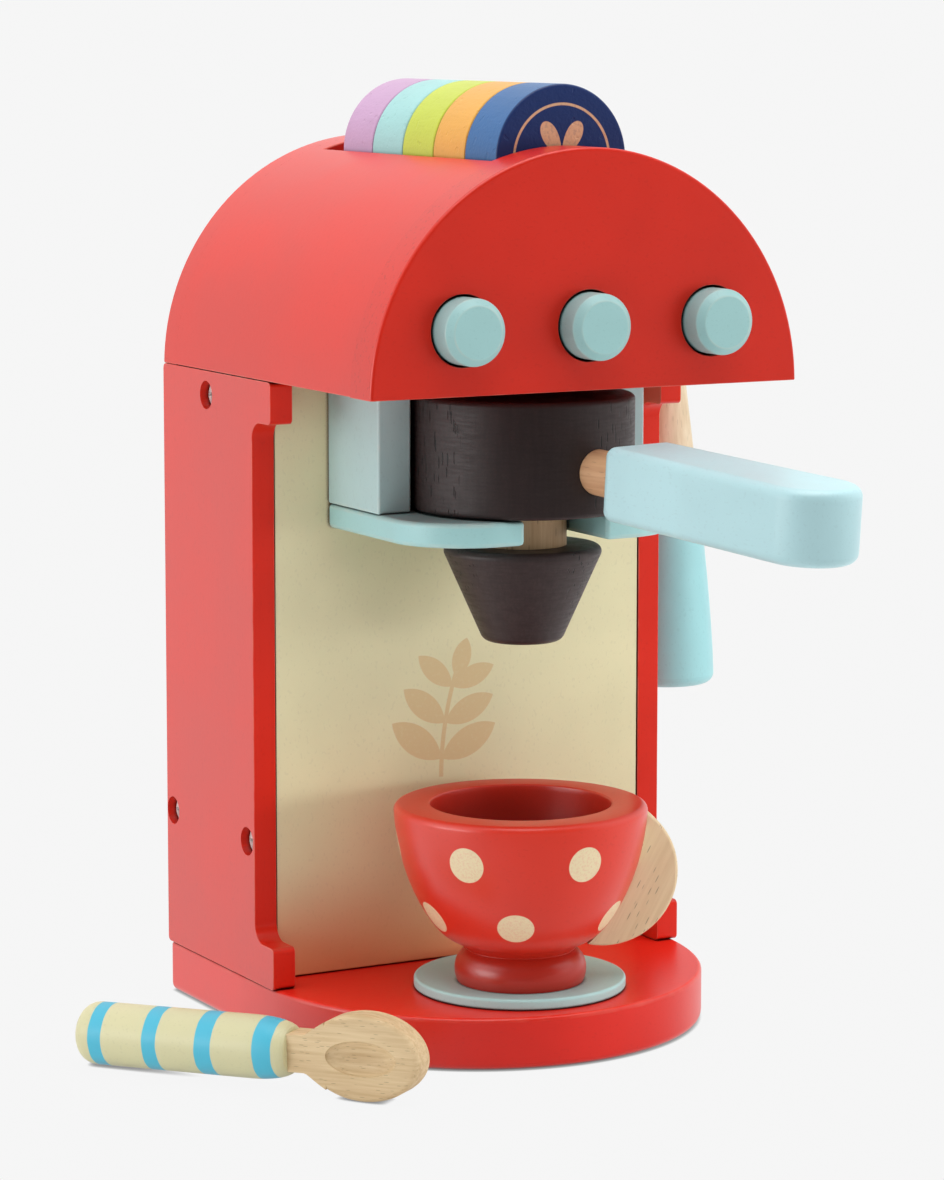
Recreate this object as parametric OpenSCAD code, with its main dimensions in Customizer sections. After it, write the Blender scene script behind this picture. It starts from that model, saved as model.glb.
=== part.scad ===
// Toy coffee maker in painted wood. Millimetres, +Z up, base underside at Z = 0,
// front of the machine towards -Y, origin under the middle of the base board.

/* [Carcass] */
// Width over the two side panels, also the width of the arch
body_w = 134; // [128:1:160]
// Thickness of the D-shaped base board
base_t = 15; // [10:1:25]
// How far the base stays inside the faces of the side panels
base_inset = 1.5; // [0:0.1:3]
// Radius of the base board's two rear corners
base_corner = 1.5; // [1:0.5:10]
// How far the round nose of the base reaches past the front of the arch
base_nose = 1.7; // [0:0.1:10]
// Height of the side panels between the base and the arch
column_h = 173; // [150:1:220]
// Depth of the column at its narrow waist
column_d = 60; // [50:1:70]
// Thickness of each side panel
side_t = 7; // [6:0.5:10]
// How far the foot and the head of a side panel stand forward
flange_d = 12; // [5:1:14]
// Height of those foot and head flanges
flange_h = 12; // [9:1:25]
// Radius of the routed inner corner behind each flange
flange_r = 5; // [2:0.5:8]
// Thickness of the front and rear panels of the column
panel_t = 9; // [6:0.5:12]
// Shadow gap round the cream front panel
panel_gap = 0.3; // [0.2:0.1:1]
// Set-back of the front panel behind the edges of the side panels
panel_inset = 0.3; // [0:0.1:3]
// Depth of the cross rail under the arch, front to back
rail_d = 32; // [24:1:34]
// Thickness of that rail
rail_t = 14; // [12:1:20]

/* [Arch] */
// Thickness of the bent skin
skin_t = 6; // [4:0.5:8]
// Thickness of the half-round front plate
front_t = 12; // [9:0.5:16]
// Thickness of the half-round back plate
back_t = 9; // [6:0.5:14]
// Thickness of the floor board inside the arch
floor_t = 6; // [4:0.5:6.5]
// Saw cut that the half-round pieces lose along their straight edge
kerf = 1; // [0:0.1:3]
// Eased edge of the front plate, back plate and base board
ease = 1; // [0.4:0.1:2]

/* [Pods] */
// Diameter of a coffee pod
pod_d = 41; // [36:0.5:46]
// Thickness of a coffee pod
pod_t = 18.3; // [12:0.1:20]
// Air between two pods standing in the slot
pod_gap = 0.2; // [0.1:0.05:1]
// Side clearance of the pods in the slot
pod_side = 1.5; // [0.5:0.1:4]
// Free length of the slot behind the last pod
slot_spare = 9.4; // [5:0.1:20]
// Depth of the slot below the crown of the arch
slot_deep = 24.5; // [20:0.5:26]
// Skin left between the slot and the front plate
slot_lip = 3.3; // [3:0.1:8]
// Skin and back plate left behind the slot
slot_back = 16; // [15:0.5:30]
// Wall of the trough that hangs under the slot
trough_t = 3; // [2:0.1:3]
// Floor of that trough
trough_floor = 4.5; // [3:0.1:6]

/* [Buttons] */
// Diameter of a push button
button_d = 18.3; // [14:0.1:20]
// Gap all round the button in the front plate
button_gap = 0.65; // [0.3:0.05:1]
// How far a button stands out of the front plate
button_out = 8.4; // [6:0.1:14]
// Chamfer on the button's front edge
button_bevel = 1.9; // [0.5:0.1:3]
// Distance between neighbouring buttons
button_pitch = 39; // [32:0.5:40]
// Height of the buttons above the underside of the arch
button_up = 17.7; // [17:0.1:19]
// How far the retaining collar laps behind the plate, all round
collar_lap = 1.3; // [0.8:0.1:1.6]
// Thickness of that collar
collar_t = 3; // [2:0.1:5]
// Diameter of the button's guide stem
stem_d = 8; // [6:0.5:9]
// Length of the coil spring at rest
spring_l = 11.4; // [9:0.1:15]
// Wire diameter of the spring
spring_wire = 1; // [0.6:0.1:1.2]
// Turns of the spring
spring_turns = 5; // [3:1:7]
// Thickness of the board that guides the stems
guide_t = 6; // [4:0.5:9]
// Length of stem showing behind the guide board
stem_tail = 6; // [3:0.5:10]

/* [Group head] */
// Width of each hanging block
block_w = 10.4; // [9:0.1:14]
// Height of the hanging blocks
block_h = 36.4; // [34.5:0.1:45]
// Depth of the hanging blocks, front to back
block_d = 31.3; // [26:0.1:34]
// Thickness of the C-shaped plate
plate_t = 7; // [5:0.1:9]
// How far the plate reaches in front of the filter axis
plate_reach = 24.7; // [24:0.1:30]
// Radius of the plate's front corners
plate_r = 22; // [10:0.5:23]
// Diameter of the dowels that pin plate, blocks and arch together
peg_d = 6; // [4:0.5:6]
// How far those dowels reach into the floor board of the arch
peg_hold = 5; // [3:0.5:6]

/* [Filter holder] */
// Diameter of the drum
drum_d = 63; // [50:0.5:66]
// Height of the drum
drum_h = 32.4; // [28:0.1:33]
// Side clearance between the drum and the blocks
drum_gap = 1.1; // [0.5:0.1:3]
// Space behind the drum, up to the column
drum_back = 5.1; // [2:0.1:10]
// Diameter of the neck dowel
neck_d = 24.8; // [18:0.1:26]
// Side clearance of the neck in the slot of the plate
neck_gap = 0.6; // [0.3:0.1:2]
// Gap between the plate and the spout below it
spout_gap = 3.1; // [1:0.1:6]
// Diameter of the spout at its top
spout_d = 44.6; // [36:0.5:50]
// Diameter of the spout at its tip
spout_tip = 23; // [16:0.5:30]
// Height of the spout
spout_h = 27.4; // [22:0.1:36]
// Height of the handle above the underside of the drum
handle_up = 14.9; // [13.5:0.1:18]
// Diameter of the handle dowel
dowel_d = 12.7; // [9:0.1:13.5]
// Distance from the filter axis to the near end of the grip
grip_start = 45.5; // [44:0.5:60]
// Length of the grip
grip_l = 81; // [60:1:110]
// Width of the grip at its near end
grip_w0 = 24; // [20:0.5:30]
// Width of the grip at its round end
grip_w1 = 27; // [20:0.5:34]
// Thickness of the grip
grip_t = 20.6; // [18:0.1:21]
// Rounding of the grip's edges
grip_r = 3; // [1:0.5:5]
// Turn of the handle away from straight forward, seen from above
grip_turn = 12; // [-30:1:30]
// Droop of the handle below the level
grip_droop = 4; // [0:0.5:4]

/* [Cup and saucer] */
// Diameter of the saucer
saucer_d = 60.4; // [50:0.5:66]
// Thickness of the saucer
saucer_t = 3.2; // [2:0.1:6]
// Saucer centre, right of the filter axis
saucer_x = -2; // [-4:0.5:4]
// Saucer centre, behind the filter axis
saucer_y = -2.4; // [-4:0.1:2]
// Cup centre, right of the saucer's
cup_x = -2.5; // [-5:0.5:5]
// Cup centre, behind the saucer's
cup_y = -4.8; // [-6:0.1:4]
// Diameter of the cup over its rim
cup_d = 72; // [60:1:78]
// Height of the cup
cup_h = 51; // [42:1:60]
// Diameter of the cup's mouth
mouth_d = 51.2; // [40:0.1:56]
// Depth of the cup's hollow
mouth_deep = 38; // [30:1:40]
// Diameter of the cup's foot ring
foot_d = 37.4; // [30:0.1:42]
// Diameter of the waist above the foot
waist_d = 33; // [26:0.1:36]
// Diameter of the disc that the cup's handle is cut from
ear_d = 42; // [34:0.1:46]
// Thickness of the cup's handle
ear_t = 9; // [5:0.5:12]
// Centre of that disc from the cup's axis
ear_out = 23.6; // [20:0.1:28]
// Turn of the cup's handle from straight right towards the front
ear_turn = -20; // [-60:1:60]

/* [Steam wand] */
// Diameter of the wand's top
wand_top_d = 10.4; // [9.5:0.1:12]
// Diameter of the wand where the paint starts
wand_mid_d = 18; // [16:0.1:20]
// Diameter of the wand's thick end
wand_end_d = 29.4; // [24:0.1:34]
// Length of wand above its pivot
wand_over = 7; // [6:0.1:7.5]
// Length of natural wood below the pivot
wand_bare = 29; // [20:0.5:40]
// Length of the painted grip
wand_painted = 64; // [50:1:80]
// Gap between the wand's thick end and the side panel
wand_gap = 1; // [0.5:0.1:4]
// Pivot height below the underside of the arch
wand_drop = 8; // [7.2:0.1:20]
// Pivot distance from the rear of the column
wand_y = 38.5; // [20:0.5:50]
// Diameter of the washer between the wand and the side panel
washer_d = 13; // [9:0.5:18]
// Diameter of the pivot pin
pin_d = 6; // [4:0.1:6.5]
// Diameter of the pin's head inside the column
pin_head_d = 8.4; // [7.6:0.1:9]
// Thickness of that head
pin_head_t = 2.6; // [2:0.1:4]

/* [Spoon] */
// Diameter of the spoon's handle
spoon_d = 17.4; // [14:0.1:22]
// Length of the spoon's handle
spoon_l = 66.2; // [50:0.1:90]
// Width of the spoon's neck
neck_w = 10.4; // [8:0.1:12.5]
// Diameter of the round tenon that fixes the neck in the handle
tenon_d = 7; // [5:0.1:7.6]
// Length of neck showing between the handle and the oval of the bowl
neck_l = 5.1; // [2:0.1:25]
// Length of the spoon's bowl
bowl_l = 34.6; // [24:0.1:40]
// Width of the spoon's bowl
bowl_w = 23.7; // [20:0.1:30]
// Thickness of the board that neck and bowl are sawn from
bowl_t = 8; // [7.8:0.1:14]
// Length of the hollow in the bowl
hollow_l = 21.4; // [14:0.1:22]
// Width of the hollow in the bowl
hollow_w = 9.7; // [7:0.1:16]
// Depth of the hollow in the bowl
hollow_deep = 2.6; // [1.5:0.1:5]

/* [Fasteners] */
// Shank diameter of the screws
screw_d = 3.5; // [2.5:0.1:4]
// Head diameter of the screws
head_d = 7.2; // [5:0.1:8]
// Height of the lower side screws above the base board
low_screw_up = 40.2; // [20:0.1:100]
// How far the base screws reach into the panels above
base_screw_hold = 12; // [8:0.5:20]
// Height of a screw head
head_h = 2; // [1.5:0.1:3]
// How deep the heads sit below the surface
head_sink = 3; // [1:0.1:3.5]

/* [Hidden] */

// Paint and wood
RED = [0.80, 0.16, 0.13];
CREAM = [0.91, 0.87, 0.73];
TEAL = [0.56, 0.79, 0.79];
BROWN = [0.28, 0.22, 0.21];
BEECH = [0.85, 0.71, 0.54];
STEEL = [0.72, 0.72, 0.74];

round_fn = 96;
fit = 0.05;          // radial clearance of a running or glued round fit
glue = 0.1;          // gap left at hidden board joints
seat = 0.3;          // gap between a resting or sliding piece and its seat
eps = 1;             // overrun of cutting tools

// Levels and depths of the carcass
half_w = body_w / 2;
base_half = half_w - base_inset;
pods = 5;
pod_r = pod_d / 2;
slot_w = pod_d + 2 * pod_side;
slot_l = pods * pod_t + (pods - 1) * pod_gap + seat + slot_spare;
arch_d = front_t + slot_lip + slot_l + slot_back;
base_d = arch_d + base_nose;
rear = base_d / 2;
waist = rear - column_d;
arch_z = base_t + column_h;
arch_r = half_w;
arch_mid = arch_z - kerf;
crown = arch_mid + arch_r;
arch_face = rear - arch_d;
arch_in = arch_face + front_t;
arch_out = rear - back_t;
inner_r = arch_r - skin_t;
panel_face = waist + panel_inset;
inner_w = body_w - 2 * side_t;

// Pods and slot
slot_front = arch_in + slot_lip;
slot_rear = slot_front + slot_l;
slot_floor = crown - slot_deep;
pod_z = slot_floor + seat + pod_r;

// Buttons
button_z = arch_z + button_up;
collar_y = arch_in + seat;
button_hole_d = button_d + 2 * button_gap;
collar_r = button_hole_d / 2 + collar_lap;
spring_y = collar_y + collar_t + seat / 2;
guide_y = spring_y + spring_l + seat / 2;
stem_end = guide_y + guide_t + stem_tail;

// Group head and filter holder
drum_r = drum_d / 2;
neck_r = neck_d / 2;
block_in = drum_r + drum_gap;
head_half = block_in + block_w;
filter_y = panel_face - drum_back - drum_r;
block_z = arch_z - block_h;
plate_z = block_z - plate_t;
plate_front = filter_y - plate_reach;
peg_y = [panel_face - block_d * 0.25, panel_face - block_d * 0.75];
peg_in = min(4.5, plate_t - 1.5);
drum_z = block_z + seat;
spout_top = plate_z - spout_gap;
spout_z = spout_top - spout_h;
neck_in_spout = 15;
neck_in_drum = 24;
handle_z = drum_z + handle_up;
dowel_in = neck_r + 2;
dowel_in_grip = 22;

// Cup, saucer, wand
saucer_c = [saucer_x, filter_y + saucer_y];
cup_c = [saucer_c[0] + cup_x, saucer_c[1] + cup_y];
cup_z = base_t + saucer_t;
lip_r = 2;
bowl_top = cup_h - lip_r;
waist_h = 8.2;
bowl_mid = cup_h + 2.3;
bowl_b = (bowl_mid - waist_h) / sqrt(1 - pow(waist_d / cup_d, 2));
foot_r = 7;
ear_up = 1.4;        // height of the ear's lowest point above the waist
foot_low = 0.46;     // height of the foot's widest line, in foot radii
wand_x = half_w + wand_gap + wand_end_d / 2;
wand_z = arch_z - wand_drop;
wand_c = rear - wand_y;
wand_neck_r = wand_top_d / 2;
wand_tenon = 12;
pin_in = wand_neck_r * 0.5;
wand_spacer_l = wand_x - wand_neck_r - 1 - half_w - seat;

// Spoon: where its butt lies on the floor, and the way it points
spoon_at = [-121.5, 3.1];
spoon_heading = -54.6;
spoon_butt = 5;
spoon_shoulder = 12; // length over which the handle rounds off towards the neck
spoon_reach = spoon_l + neck_l + bowl_l / 2;
spoon_tilt = asin((bowl_w / 2 - spoon_d / 2) / (spoon_reach - spoon_butt));
spoon_z = spoon_d / 2 - spoon_butt * sin(spoon_tilt) + 0.01;
spoon_tenon = 14;
neck_flare = 4;      // rounding of the inner corners between neck and bowl
bowl_ease = 1.2;

// Screws: [y, z] of the three in each side panel
rail_y = (waist + panel_inset + panel_t + rear - panel_t) / 2;
side_screw_at = [
    [rail_y, arch_z - rail_t / 2],
    [rear - panel_t / 2, base_t + low_screw_up],
    [panel_face + panel_t / 2, base_t + low_screw_up]
];
side_screw_l = 22;
base_screw_y = [panel_face + panel_t / 2, rear - panel_t / 2];
base_screw_l = base_t + base_screw_hold;
arch_screw_x = [-inner_w / 4, inner_w / 4];
arch_screw_l = rail_t + floor_t - 2;

// ---------- shared shapes ----------

// Points along an arc from angle a0 to a1
function arc(c, r, a0, a1, n = 6) =
    [for (i = [0:n]) c + r * [cos(a0 + (a1 - a0) * i / n), sin(a0 + (a1 - a0) * i / n)]];

// Points along a quarter or less of an oval from angle a0 to a1
function oval(c, rx, ry, a0, a1, n = 8) =
    [for (i = [0:n]) let (a = a0 + (a1 - a0) * i / n) c + [rx * cos(a), ry * sin(a)]];

// Half section of a disc with rounded edges, from z0 up to z1
function disc_section(r, z0, z1, e) = concat(
    [[0, z0]], arc([r - e, z0 + e], e, -90, 0), arc([r - e, z1 - e], e, 0, 90), [[0, z1]]);

module turned(section, fn = round_fn) {
    rotate_extrude($fn = fn) polygon(section);
}

module turned_disc(r, t, e) {
    turned(disc_section(r, 0, t, e));
}

// Lays a piece turned about Z along the Y axis, its Z = 0 end at the front
module along_y() {
    rotate([-90, 0, 0]) children();
}

// Lays a piece turned about Z along the X axis
module along_x() {
    rotate([0, 90, 0]) children();
}

// Keeps what lies above the underside of the arch and inside radius r
module under_skin(r, y0, y1) {
    intersection() {
        children();
        translate([0, y0, arch_mid]) along_y() cylinder(r = r, h = y1 - y0, $fn = round_fn);
        translate([-half_w, y0, arch_z]) cube([body_w, y1 - y0, arch_r + eps]);
    }
}

// Screw standing on its tip, head upwards at Z = 0, with a cross recess
module screw(length) {
    dome = head_h * 0.4;
    cross_w = 0.9;
    difference() {
        union() {
            translate([0, 0, -length]) cylinder(d = screw_d, h = length - head_h / 2, $fn = 32);
            turned([
                [0, -head_h], [head_d / 2, -head_h], [head_d / 2, -dome],
                [head_d * 0.36, -dome * 0.3], [0, 0]
            ], 32);
        }
        for (a = [0, 90])
            rotate(a) translate([-head_d * 0.3, -cross_w / 2, -head_h * 0.6])
                cube([head_d * 0.6, cross_w, head_h]);
    }
}

// Counterbore and clearance hole for such a screw, its mouth at Z = 0
module screw_hole(depth) {
    translate([0, 0, -depth - eps]) cylinder(d = screw_d + 2 * fit, h = depth + 2 * eps, $fn = 32);
    translate([0, 0, -head_sink - head_h]) cylinder(d = head_d + 1, h = head_sink + head_h + eps, $fn = 48);
}

// Places children at each screw of one side panel: side = -1 left, 1 right, mouth outwards
module at_side_screws(side) {
    for (p = side_screw_at)
        translate([side * half_w, p[0], p[1]]) rotate([0, side * 90, 0]) children();
}

// Places children at each screw of the base, mouth downwards
module at_base_screws() {
    for (x = [-1, 1], y = base_screw_y)
        translate([x * inner_w / 3, y, 0]) rotate([180, 0, 0]) children();
}

// Pilot holes that the base screws run into
module base_pilots() {
    at_base_screws() translate([0, 0, -base_screw_l - eps])
        cylinder(d = screw_d + 2 * fit, h = base_screw_l, $fn = 32);
}

module at_arch_screws() {
    for (x = arch_screw_x) translate([x, rail_y, arch_z - rail_t]) rotate([180, 0, 0]) children();
}

module at_pegs() {
    for (x = [-1, 1], y = peg_y)
        translate([x * (head_half - block_w / 2), y, plate_z + plate_t - peg_in]) children();
}

peg_l = peg_in + block_h + min(peg_hold, floor_t - 1);

// ---------- carcass ----------

// D-shaped board: half-round nose, straight flanks, small rear corners, eased all round
module base_board() color(RED) {
    nose_y = arch_face - base_nose + base_half;
    section = disc_section(base_half, 0, base_t, ease);
    flat = concat(
        arc([base_half - ease, ease], ease, -90, 0), arc([base_half - ease, base_t - ease], ease, 0, 90),
        arc([ease - base_half, base_t - ease], ease, 90, 180), arc([ease - base_half, ease], ease, 180, 270));
    difference() {
        union() {
            translate([0, nose_y, 0]) intersection() {
                turned(section);
                translate([-body_w, -body_w, -eps]) cube([2 * body_w, body_w, base_t + 2 * eps]);
            }
            translate([0, rear, 0]) rotate([90, 0, 0]) linear_extrude(rear - nose_y) polygon(flat);
        }
        at_base_screws() screw_hole(base_t);
        for (side = [0, 1]) mirror([side, 0, 0])
            translate([base_half - base_corner, rear - base_corner, -eps]) linear_extrude(base_t + 2 * eps)
                difference() {
                    square(base_corner + eps);
                    circle(r = base_corner, $fn = 48);
                }
    }
}

// Side panel outline in the Y-Z plane: narrow waist with square flanges and routed corners
module side_outline() {
    module flange() {
        translate([waist - flange_d, 0]) square([flange_d + eps, flange_h]);
        translate([waist - flange_r, flange_h]) difference() {
            square([flange_r + eps, flange_r]);
            translate([0, flange_r]) circle(r = flange_r, $fn = 48);
        }
    }
    translate([waist, 0]) square([column_d, column_h]);
    flange();
    translate([0, column_h]) mirror([0, 1]) flange();
}

module side_panel(side) {
    difference() {
        translate([side < 0 ? -half_w : half_w - side_t, 0, base_t])
            rotate([90, 0, 90]) linear_extrude(side_t) side_outline();
        at_side_screws(side) screw_hole(side_t);
        if (side > 0)
            translate([half_w - side_t - eps, wand_c, wand_z])
                along_x() cylinder(d = pin_d + 2 * fit, h = side_t + 2 * eps, $fn = 48);
    }
}

module side_panel_left() color(RED) side_panel(-1);

module side_panel_right() color(RED) side_panel(1);

// Pilot holes that the side screws run into
module side_pilots() {
    for (side = [-1, 1]) at_side_screws(side)
        translate([0, 0, -side_screw_l - head_sink - eps])
            cylinder(d = screw_d + 2 * fit, h = side_screw_l + eps, $fn = 32);
}

module front_panel() color(CREAM) difference() {
    translate([-inner_w / 2 + panel_gap, panel_face, base_t + panel_gap])
        cube([inner_w - 2 * panel_gap, panel_t, column_h - 2 * panel_gap]);
    side_pilots();
    base_pilots();
}

module rear_panel() color(RED) difference() {
    translate([-inner_w / 2 + glue, rear - panel_t, base_t + glue])
        cube([inner_w - 2 * glue, panel_t, column_h - 2 * glue]);
    side_pilots();
    base_pilots();
}

module top_rail() color(BEECH) difference() {
    translate([-inner_w / 2 + glue, rail_y - rail_d / 2, arch_z - rail_t])
        cube([inner_w - 2 * glue, rail_d, rail_t - glue]);
    side_pilots();
    at_arch_screws() screw_hole(rail_t);
    translate([inner_w / 2 - pin_head_t - 2 * seat - eps, wand_c, wand_z])
        along_x() cylinder(d = pin_head_d + 1, h = pin_head_t + eps + 2 * seat, $fn = 48);
}

// ---------- arch ----------

module arch_floor() color(RED) difference() {
    under_skin(inner_r - glue, arch_in + glue, arch_out - glue)
        translate([-half_w, arch_in, arch_z]) cube([body_w, arch_out - arch_in, floor_t]);
    at_pegs() cylinder(d = peg_d + 2 * fit, h = peg_l, $fn = 32);
    at_arch_screws() translate([0, 0, -arch_screw_l - glue])
        cylinder(d = screw_d + 2 * fit, h = arch_screw_l, $fn = 32);
}

// Half-round plate with one eased rim, standing in the X-Z plane from y0 to y0 + t
module half_round(t, eased_front) {
    intersection() {
        translate([0, eased_front ? 0 : t, arch_mid]) mirror([0, eased_front ? 0 : 1, 0]) along_y()
            turned(concat([[0, 0]], arc([arch_r - ease, ease], ease, -90, 0), [[arch_r, t], [0, t]]));
        translate([-half_w, -eps, arch_z]) cube([body_w, t + 2 * eps, arch_r + eps]);
    }
}

module arch_front() color(RED) difference() {
    translate([0, arch_face, 0]) half_round(front_t, true);
    for (i = [-1:1])
        translate([i * button_pitch, arch_face - eps, button_z])
            along_y() cylinder(d = button_hole_d, h = front_t + 2 * eps, $fn = 64);
}

module arch_back() color(RED) translate([0, arch_out, 0]) half_round(back_t, false);

// Bent skin with the long pod slot through its crown
module arch_shell() color(RED) difference() {
    intersection() {
        translate([0, arch_in, arch_mid]) along_y() difference() {
            cylinder(r = arch_r, h = arch_out - arch_in, $fn = round_fn);
            translate([0, 0, -eps]) cylinder(r = inner_r, h = arch_out - arch_in + 2 * eps, $fn = round_fn);
        }
        translate([-half_w, arch_in, arch_z]) cube([body_w, arch_out - arch_in, arch_r + eps]);
    }
    translate([-slot_w / 2, slot_front, slot_floor]) cube([slot_w, slot_l, slot_deep + eps]);
}

// Open box glued under the slot, its rim cut to the curve of the skin
module pod_trough() color(RED) difference() {
    under_skin(inner_r - glue, slot_front - trough_t, slot_rear + trough_t)
        translate([-slot_w / 2 - trough_t, slot_front - trough_t, slot_floor - trough_floor])
            cube([slot_w + 2 * trough_t, slot_l + 2 * trough_t, slot_deep + trough_floor]);
    translate([-slot_w / 2, slot_front, slot_floor]) cube([slot_w, slot_l, slot_deep + eps]);
}

// Upright board on the arch floor that guides the button stems
module button_guide() color(BEECH) difference() {
    under_skin(inner_r - glue, guide_y, guide_y + guide_t)
        translate([-half_w, guide_y, arch_z + floor_t])
            cube([body_w, guide_t, slot_floor - trough_floor - glue - arch_z - floor_t]);
    for (i = [-1:1])
        translate([i * button_pitch, guide_y - eps, button_z])
            along_y() cylinder(d = stem_d + 2 * fit, h = guide_t + 2 * eps, $fn = 48);
}

// One turned piece: bevelled cap, collar behind the front plate, guide stem
module button(i) {
    cap_l = collar_y - arch_face + button_out;
    r = button_d / 2;
    translate([i * button_pitch, arch_face - button_out, button_z]) along_y() turned([
        [0, 0], [r - button_bevel, 0], [r, button_bevel], [r, cap_l], [collar_r, cap_l],
        [collar_r, cap_l + collar_t], [stem_d / 2, cap_l + collar_t],
        [stem_d / 2, stem_end - arch_face + button_out], [0, stem_end - arch_face + button_out]
    ], 64);
}

module button_left() color(TEAL) button(-1);

module button_middle() color(TEAL) button(0);

module button_right() color(TEAL) button(1);

// Compression spring: round wire swept along a helix about Z
module coil(r, wire, length, turns, sides = 8, steps = 14) {
    rings = turns * steps;
    rise = (length - wire) / rings;
    slope = atan(rise * steps / (2 * PI * r));
    points = [
        for (k = [0:rings], s = [0:sides - 1])
            let (a = 360 * k / steps, b = 360 * s / sides, u = wire / 2 * cos(b), v = wire / 2 * sin(b))
            [
                (r + u) * cos(a) + v * sin(slope) * sin(a),
                (r + u) * sin(a) - v * sin(slope) * cos(a),
                wire / 2 + rise * k + v * cos(slope)
            ]
    ];
    walls = [
        for (k = [0:rings - 1], s = [0:sides - 1])
            let (n = (s + 1) % sides)
            [k * sides + s, (k + 1) * sides + s, (k + 1) * sides + n, k * sides + n]
    ];
    start = [for (s = [0:sides - 1]) s];
    end = [for (s = [sides - 1:-1:0]) rings * sides + s];
    polyhedron(points, concat(walls, [start, end]), convexity = 10);
}

module button_spring(i) {
    translate([i * button_pitch, spring_y, button_z]) along_y()
        coil(stem_d / 2 + seat + spring_wire / 2 + 0.7, spring_wire, spring_l, spring_turns);
}

module button_spring_left() color(STEEL) button_spring(-1);

module button_spring_middle() color(STEEL) button_spring(0);

module button_spring_right() color(STEEL) button_spring(1);

// ---------- group head ----------

module head_block(side) difference() {
    translate([side < 0 ? -head_half : block_in, panel_face - block_d, block_z])
        cube([block_w, block_d, block_h]);
    at_pegs() cylinder(d = peg_d + 2 * fit, h = peg_l, $fn = 32);
}

module head_block_left() color(TEAL) head_block(-1);

module head_block_right() color(TEAL) head_block(1);

// C-shaped plate: open slot in front for the neck, large round front corners
module head_plate() color(TEAL) difference() {
    translate([0, 0, plate_z]) linear_extrude(plate_t) difference() {
        union() {
            translate([-head_half, plate_front + plate_r]) square([2 * head_half, panel_face - plate_front - plate_r]);
            translate([-head_half + plate_r, plate_front]) square([2 * (head_half - plate_r), plate_r + eps]);
            for (x = [-1, 1])
                translate([x * (head_half - plate_r), plate_front + plate_r]) circle(r = plate_r, $fn = round_fn);
        }
        translate([0, filter_y]) circle(r = neck_r + neck_gap, $fn = round_fn);
        translate([-neck_r - neck_gap, plate_front - eps])
            square([neck_d + 2 * neck_gap, filter_y - plate_front + eps]);
    }
    at_pegs() cylinder(d = peg_d + 2 * fit, h = peg_in + eps, $fn = 32);
}

module head_pegs() color(BEECH) at_pegs() translate([0, 0, glue]) cylinder(d = peg_d, h = peg_l - 2 * glue, $fn = 32);

// ---------- filter holder ----------

module filter_neck() color(BEECH)
    translate([0, filter_y, spout_top - neck_in_spout])
        cylinder(r = neck_r, h = drum_z + neck_in_drum - spout_top + neck_in_spout, $fn = round_fn);

// Places children on the handle's own axis: +X outwards along the handle
module on_handle() {
    translate([0, filter_y, handle_z]) rotate([0, 0, grip_turn - 90]) rotate([0, grip_droop, 0]) children();
}

module filter_drum() color(BROWN) difference() {
    translate([0, filter_y, 0]) turned(disc_section(drum_r, drum_z, drum_z + drum_h, 1.5));
    translate([0, filter_y, drum_z - eps]) cylinder(r = neck_r + fit, h = neck_in_drum + eps + glue, $fn = round_fn);
    on_handle() translate([dowel_in, 0, 0]) along_x() cylinder(d = dowel_d + 2 * fit, h = drum_d, $fn = 64);
}

module filter_spout() color(BROWN) difference() {
    slope = atan((spout_d - spout_tip) / 2 / spout_h);
    tip_e = 3;
    rim_e = 1.8;
    translate([0, filter_y, 0]) turned(concat(
        [[0, spout_z]],
        arc([spout_tip / 2 - tip_e * 0.8, spout_z + tip_e], tip_e, -90, -slope),
        arc([spout_d / 2 - rim_e, spout_top - rim_e], rim_e, -slope, 90),
        [[0, spout_top]]));
    translate([0, filter_y, spout_top - neck_in_spout - glue])
        cylinder(r = neck_r + fit, h = neck_in_spout + eps + glue, $fn = round_fn);
}

module handle_dowel() color(BEECH) on_handle() translate([dowel_in + glue, 0, 0]) along_x()
    cylinder(d = dowel_d, h = grip_start + dowel_in_grip - dowel_in - 2 * glue, $fn = 64);

// Flat paddle, widening to a half-round end, every edge rounded
module handle_grip() color(TEAL) on_handle() difference() {
    hull() {
        for (y = [-1, 1], z = [-1, 1])
            translate([grip_start + grip_r, y * (grip_w0 / 2 - grip_r), z * (grip_t / 2 - grip_r)])
                sphere(r = grip_r, $fn = 24);
        translate([grip_start + grip_l - grip_w1 / 2, 0, 0])
            rotate_extrude($fn = 48) polygon(disc_section(grip_w1 / 2, -grip_t / 2, grip_t / 2, grip_r));
    }
    translate([grip_start - eps, 0, 0]) along_x() cylinder(d = dowel_d + 2 * fit, h = dowel_in_grip + eps, $fn = 64);
}

// ---------- pods ----------

module pod(i) {
    translate([0, slot_front + seat + i * (pod_t + pod_gap), pod_z])
        along_y() turned(disc_section(pod_r, 0, pod_t, 0.8));
}

module pod_blue() color([0.25, 0.42, 0.68]) pod(0);

module pod_orange() color([0.97, 0.70, 0.38]) pod(1);

module pod_lime() color([0.79, 0.82, 0.36]) pod(2);

module pod_aqua() color([0.62, 0.84, 0.82]) pod(3);

module pod_lilac() color([0.79, 0.64, 0.79]) pod(4);

// ---------- cup and saucer ----------

module saucer() color(TEAL)
    translate([saucer_c[0], saucer_c[1], 0]) turned(disc_section(saucer_d / 2, base_t, cup_z, 0.8));

// Radius of the bowl at height h above the foot
function bowl_radius(h) = cup_d / 2 * sqrt(1 - pow((bowl_mid - h) / bowl_b, 2));

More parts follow.
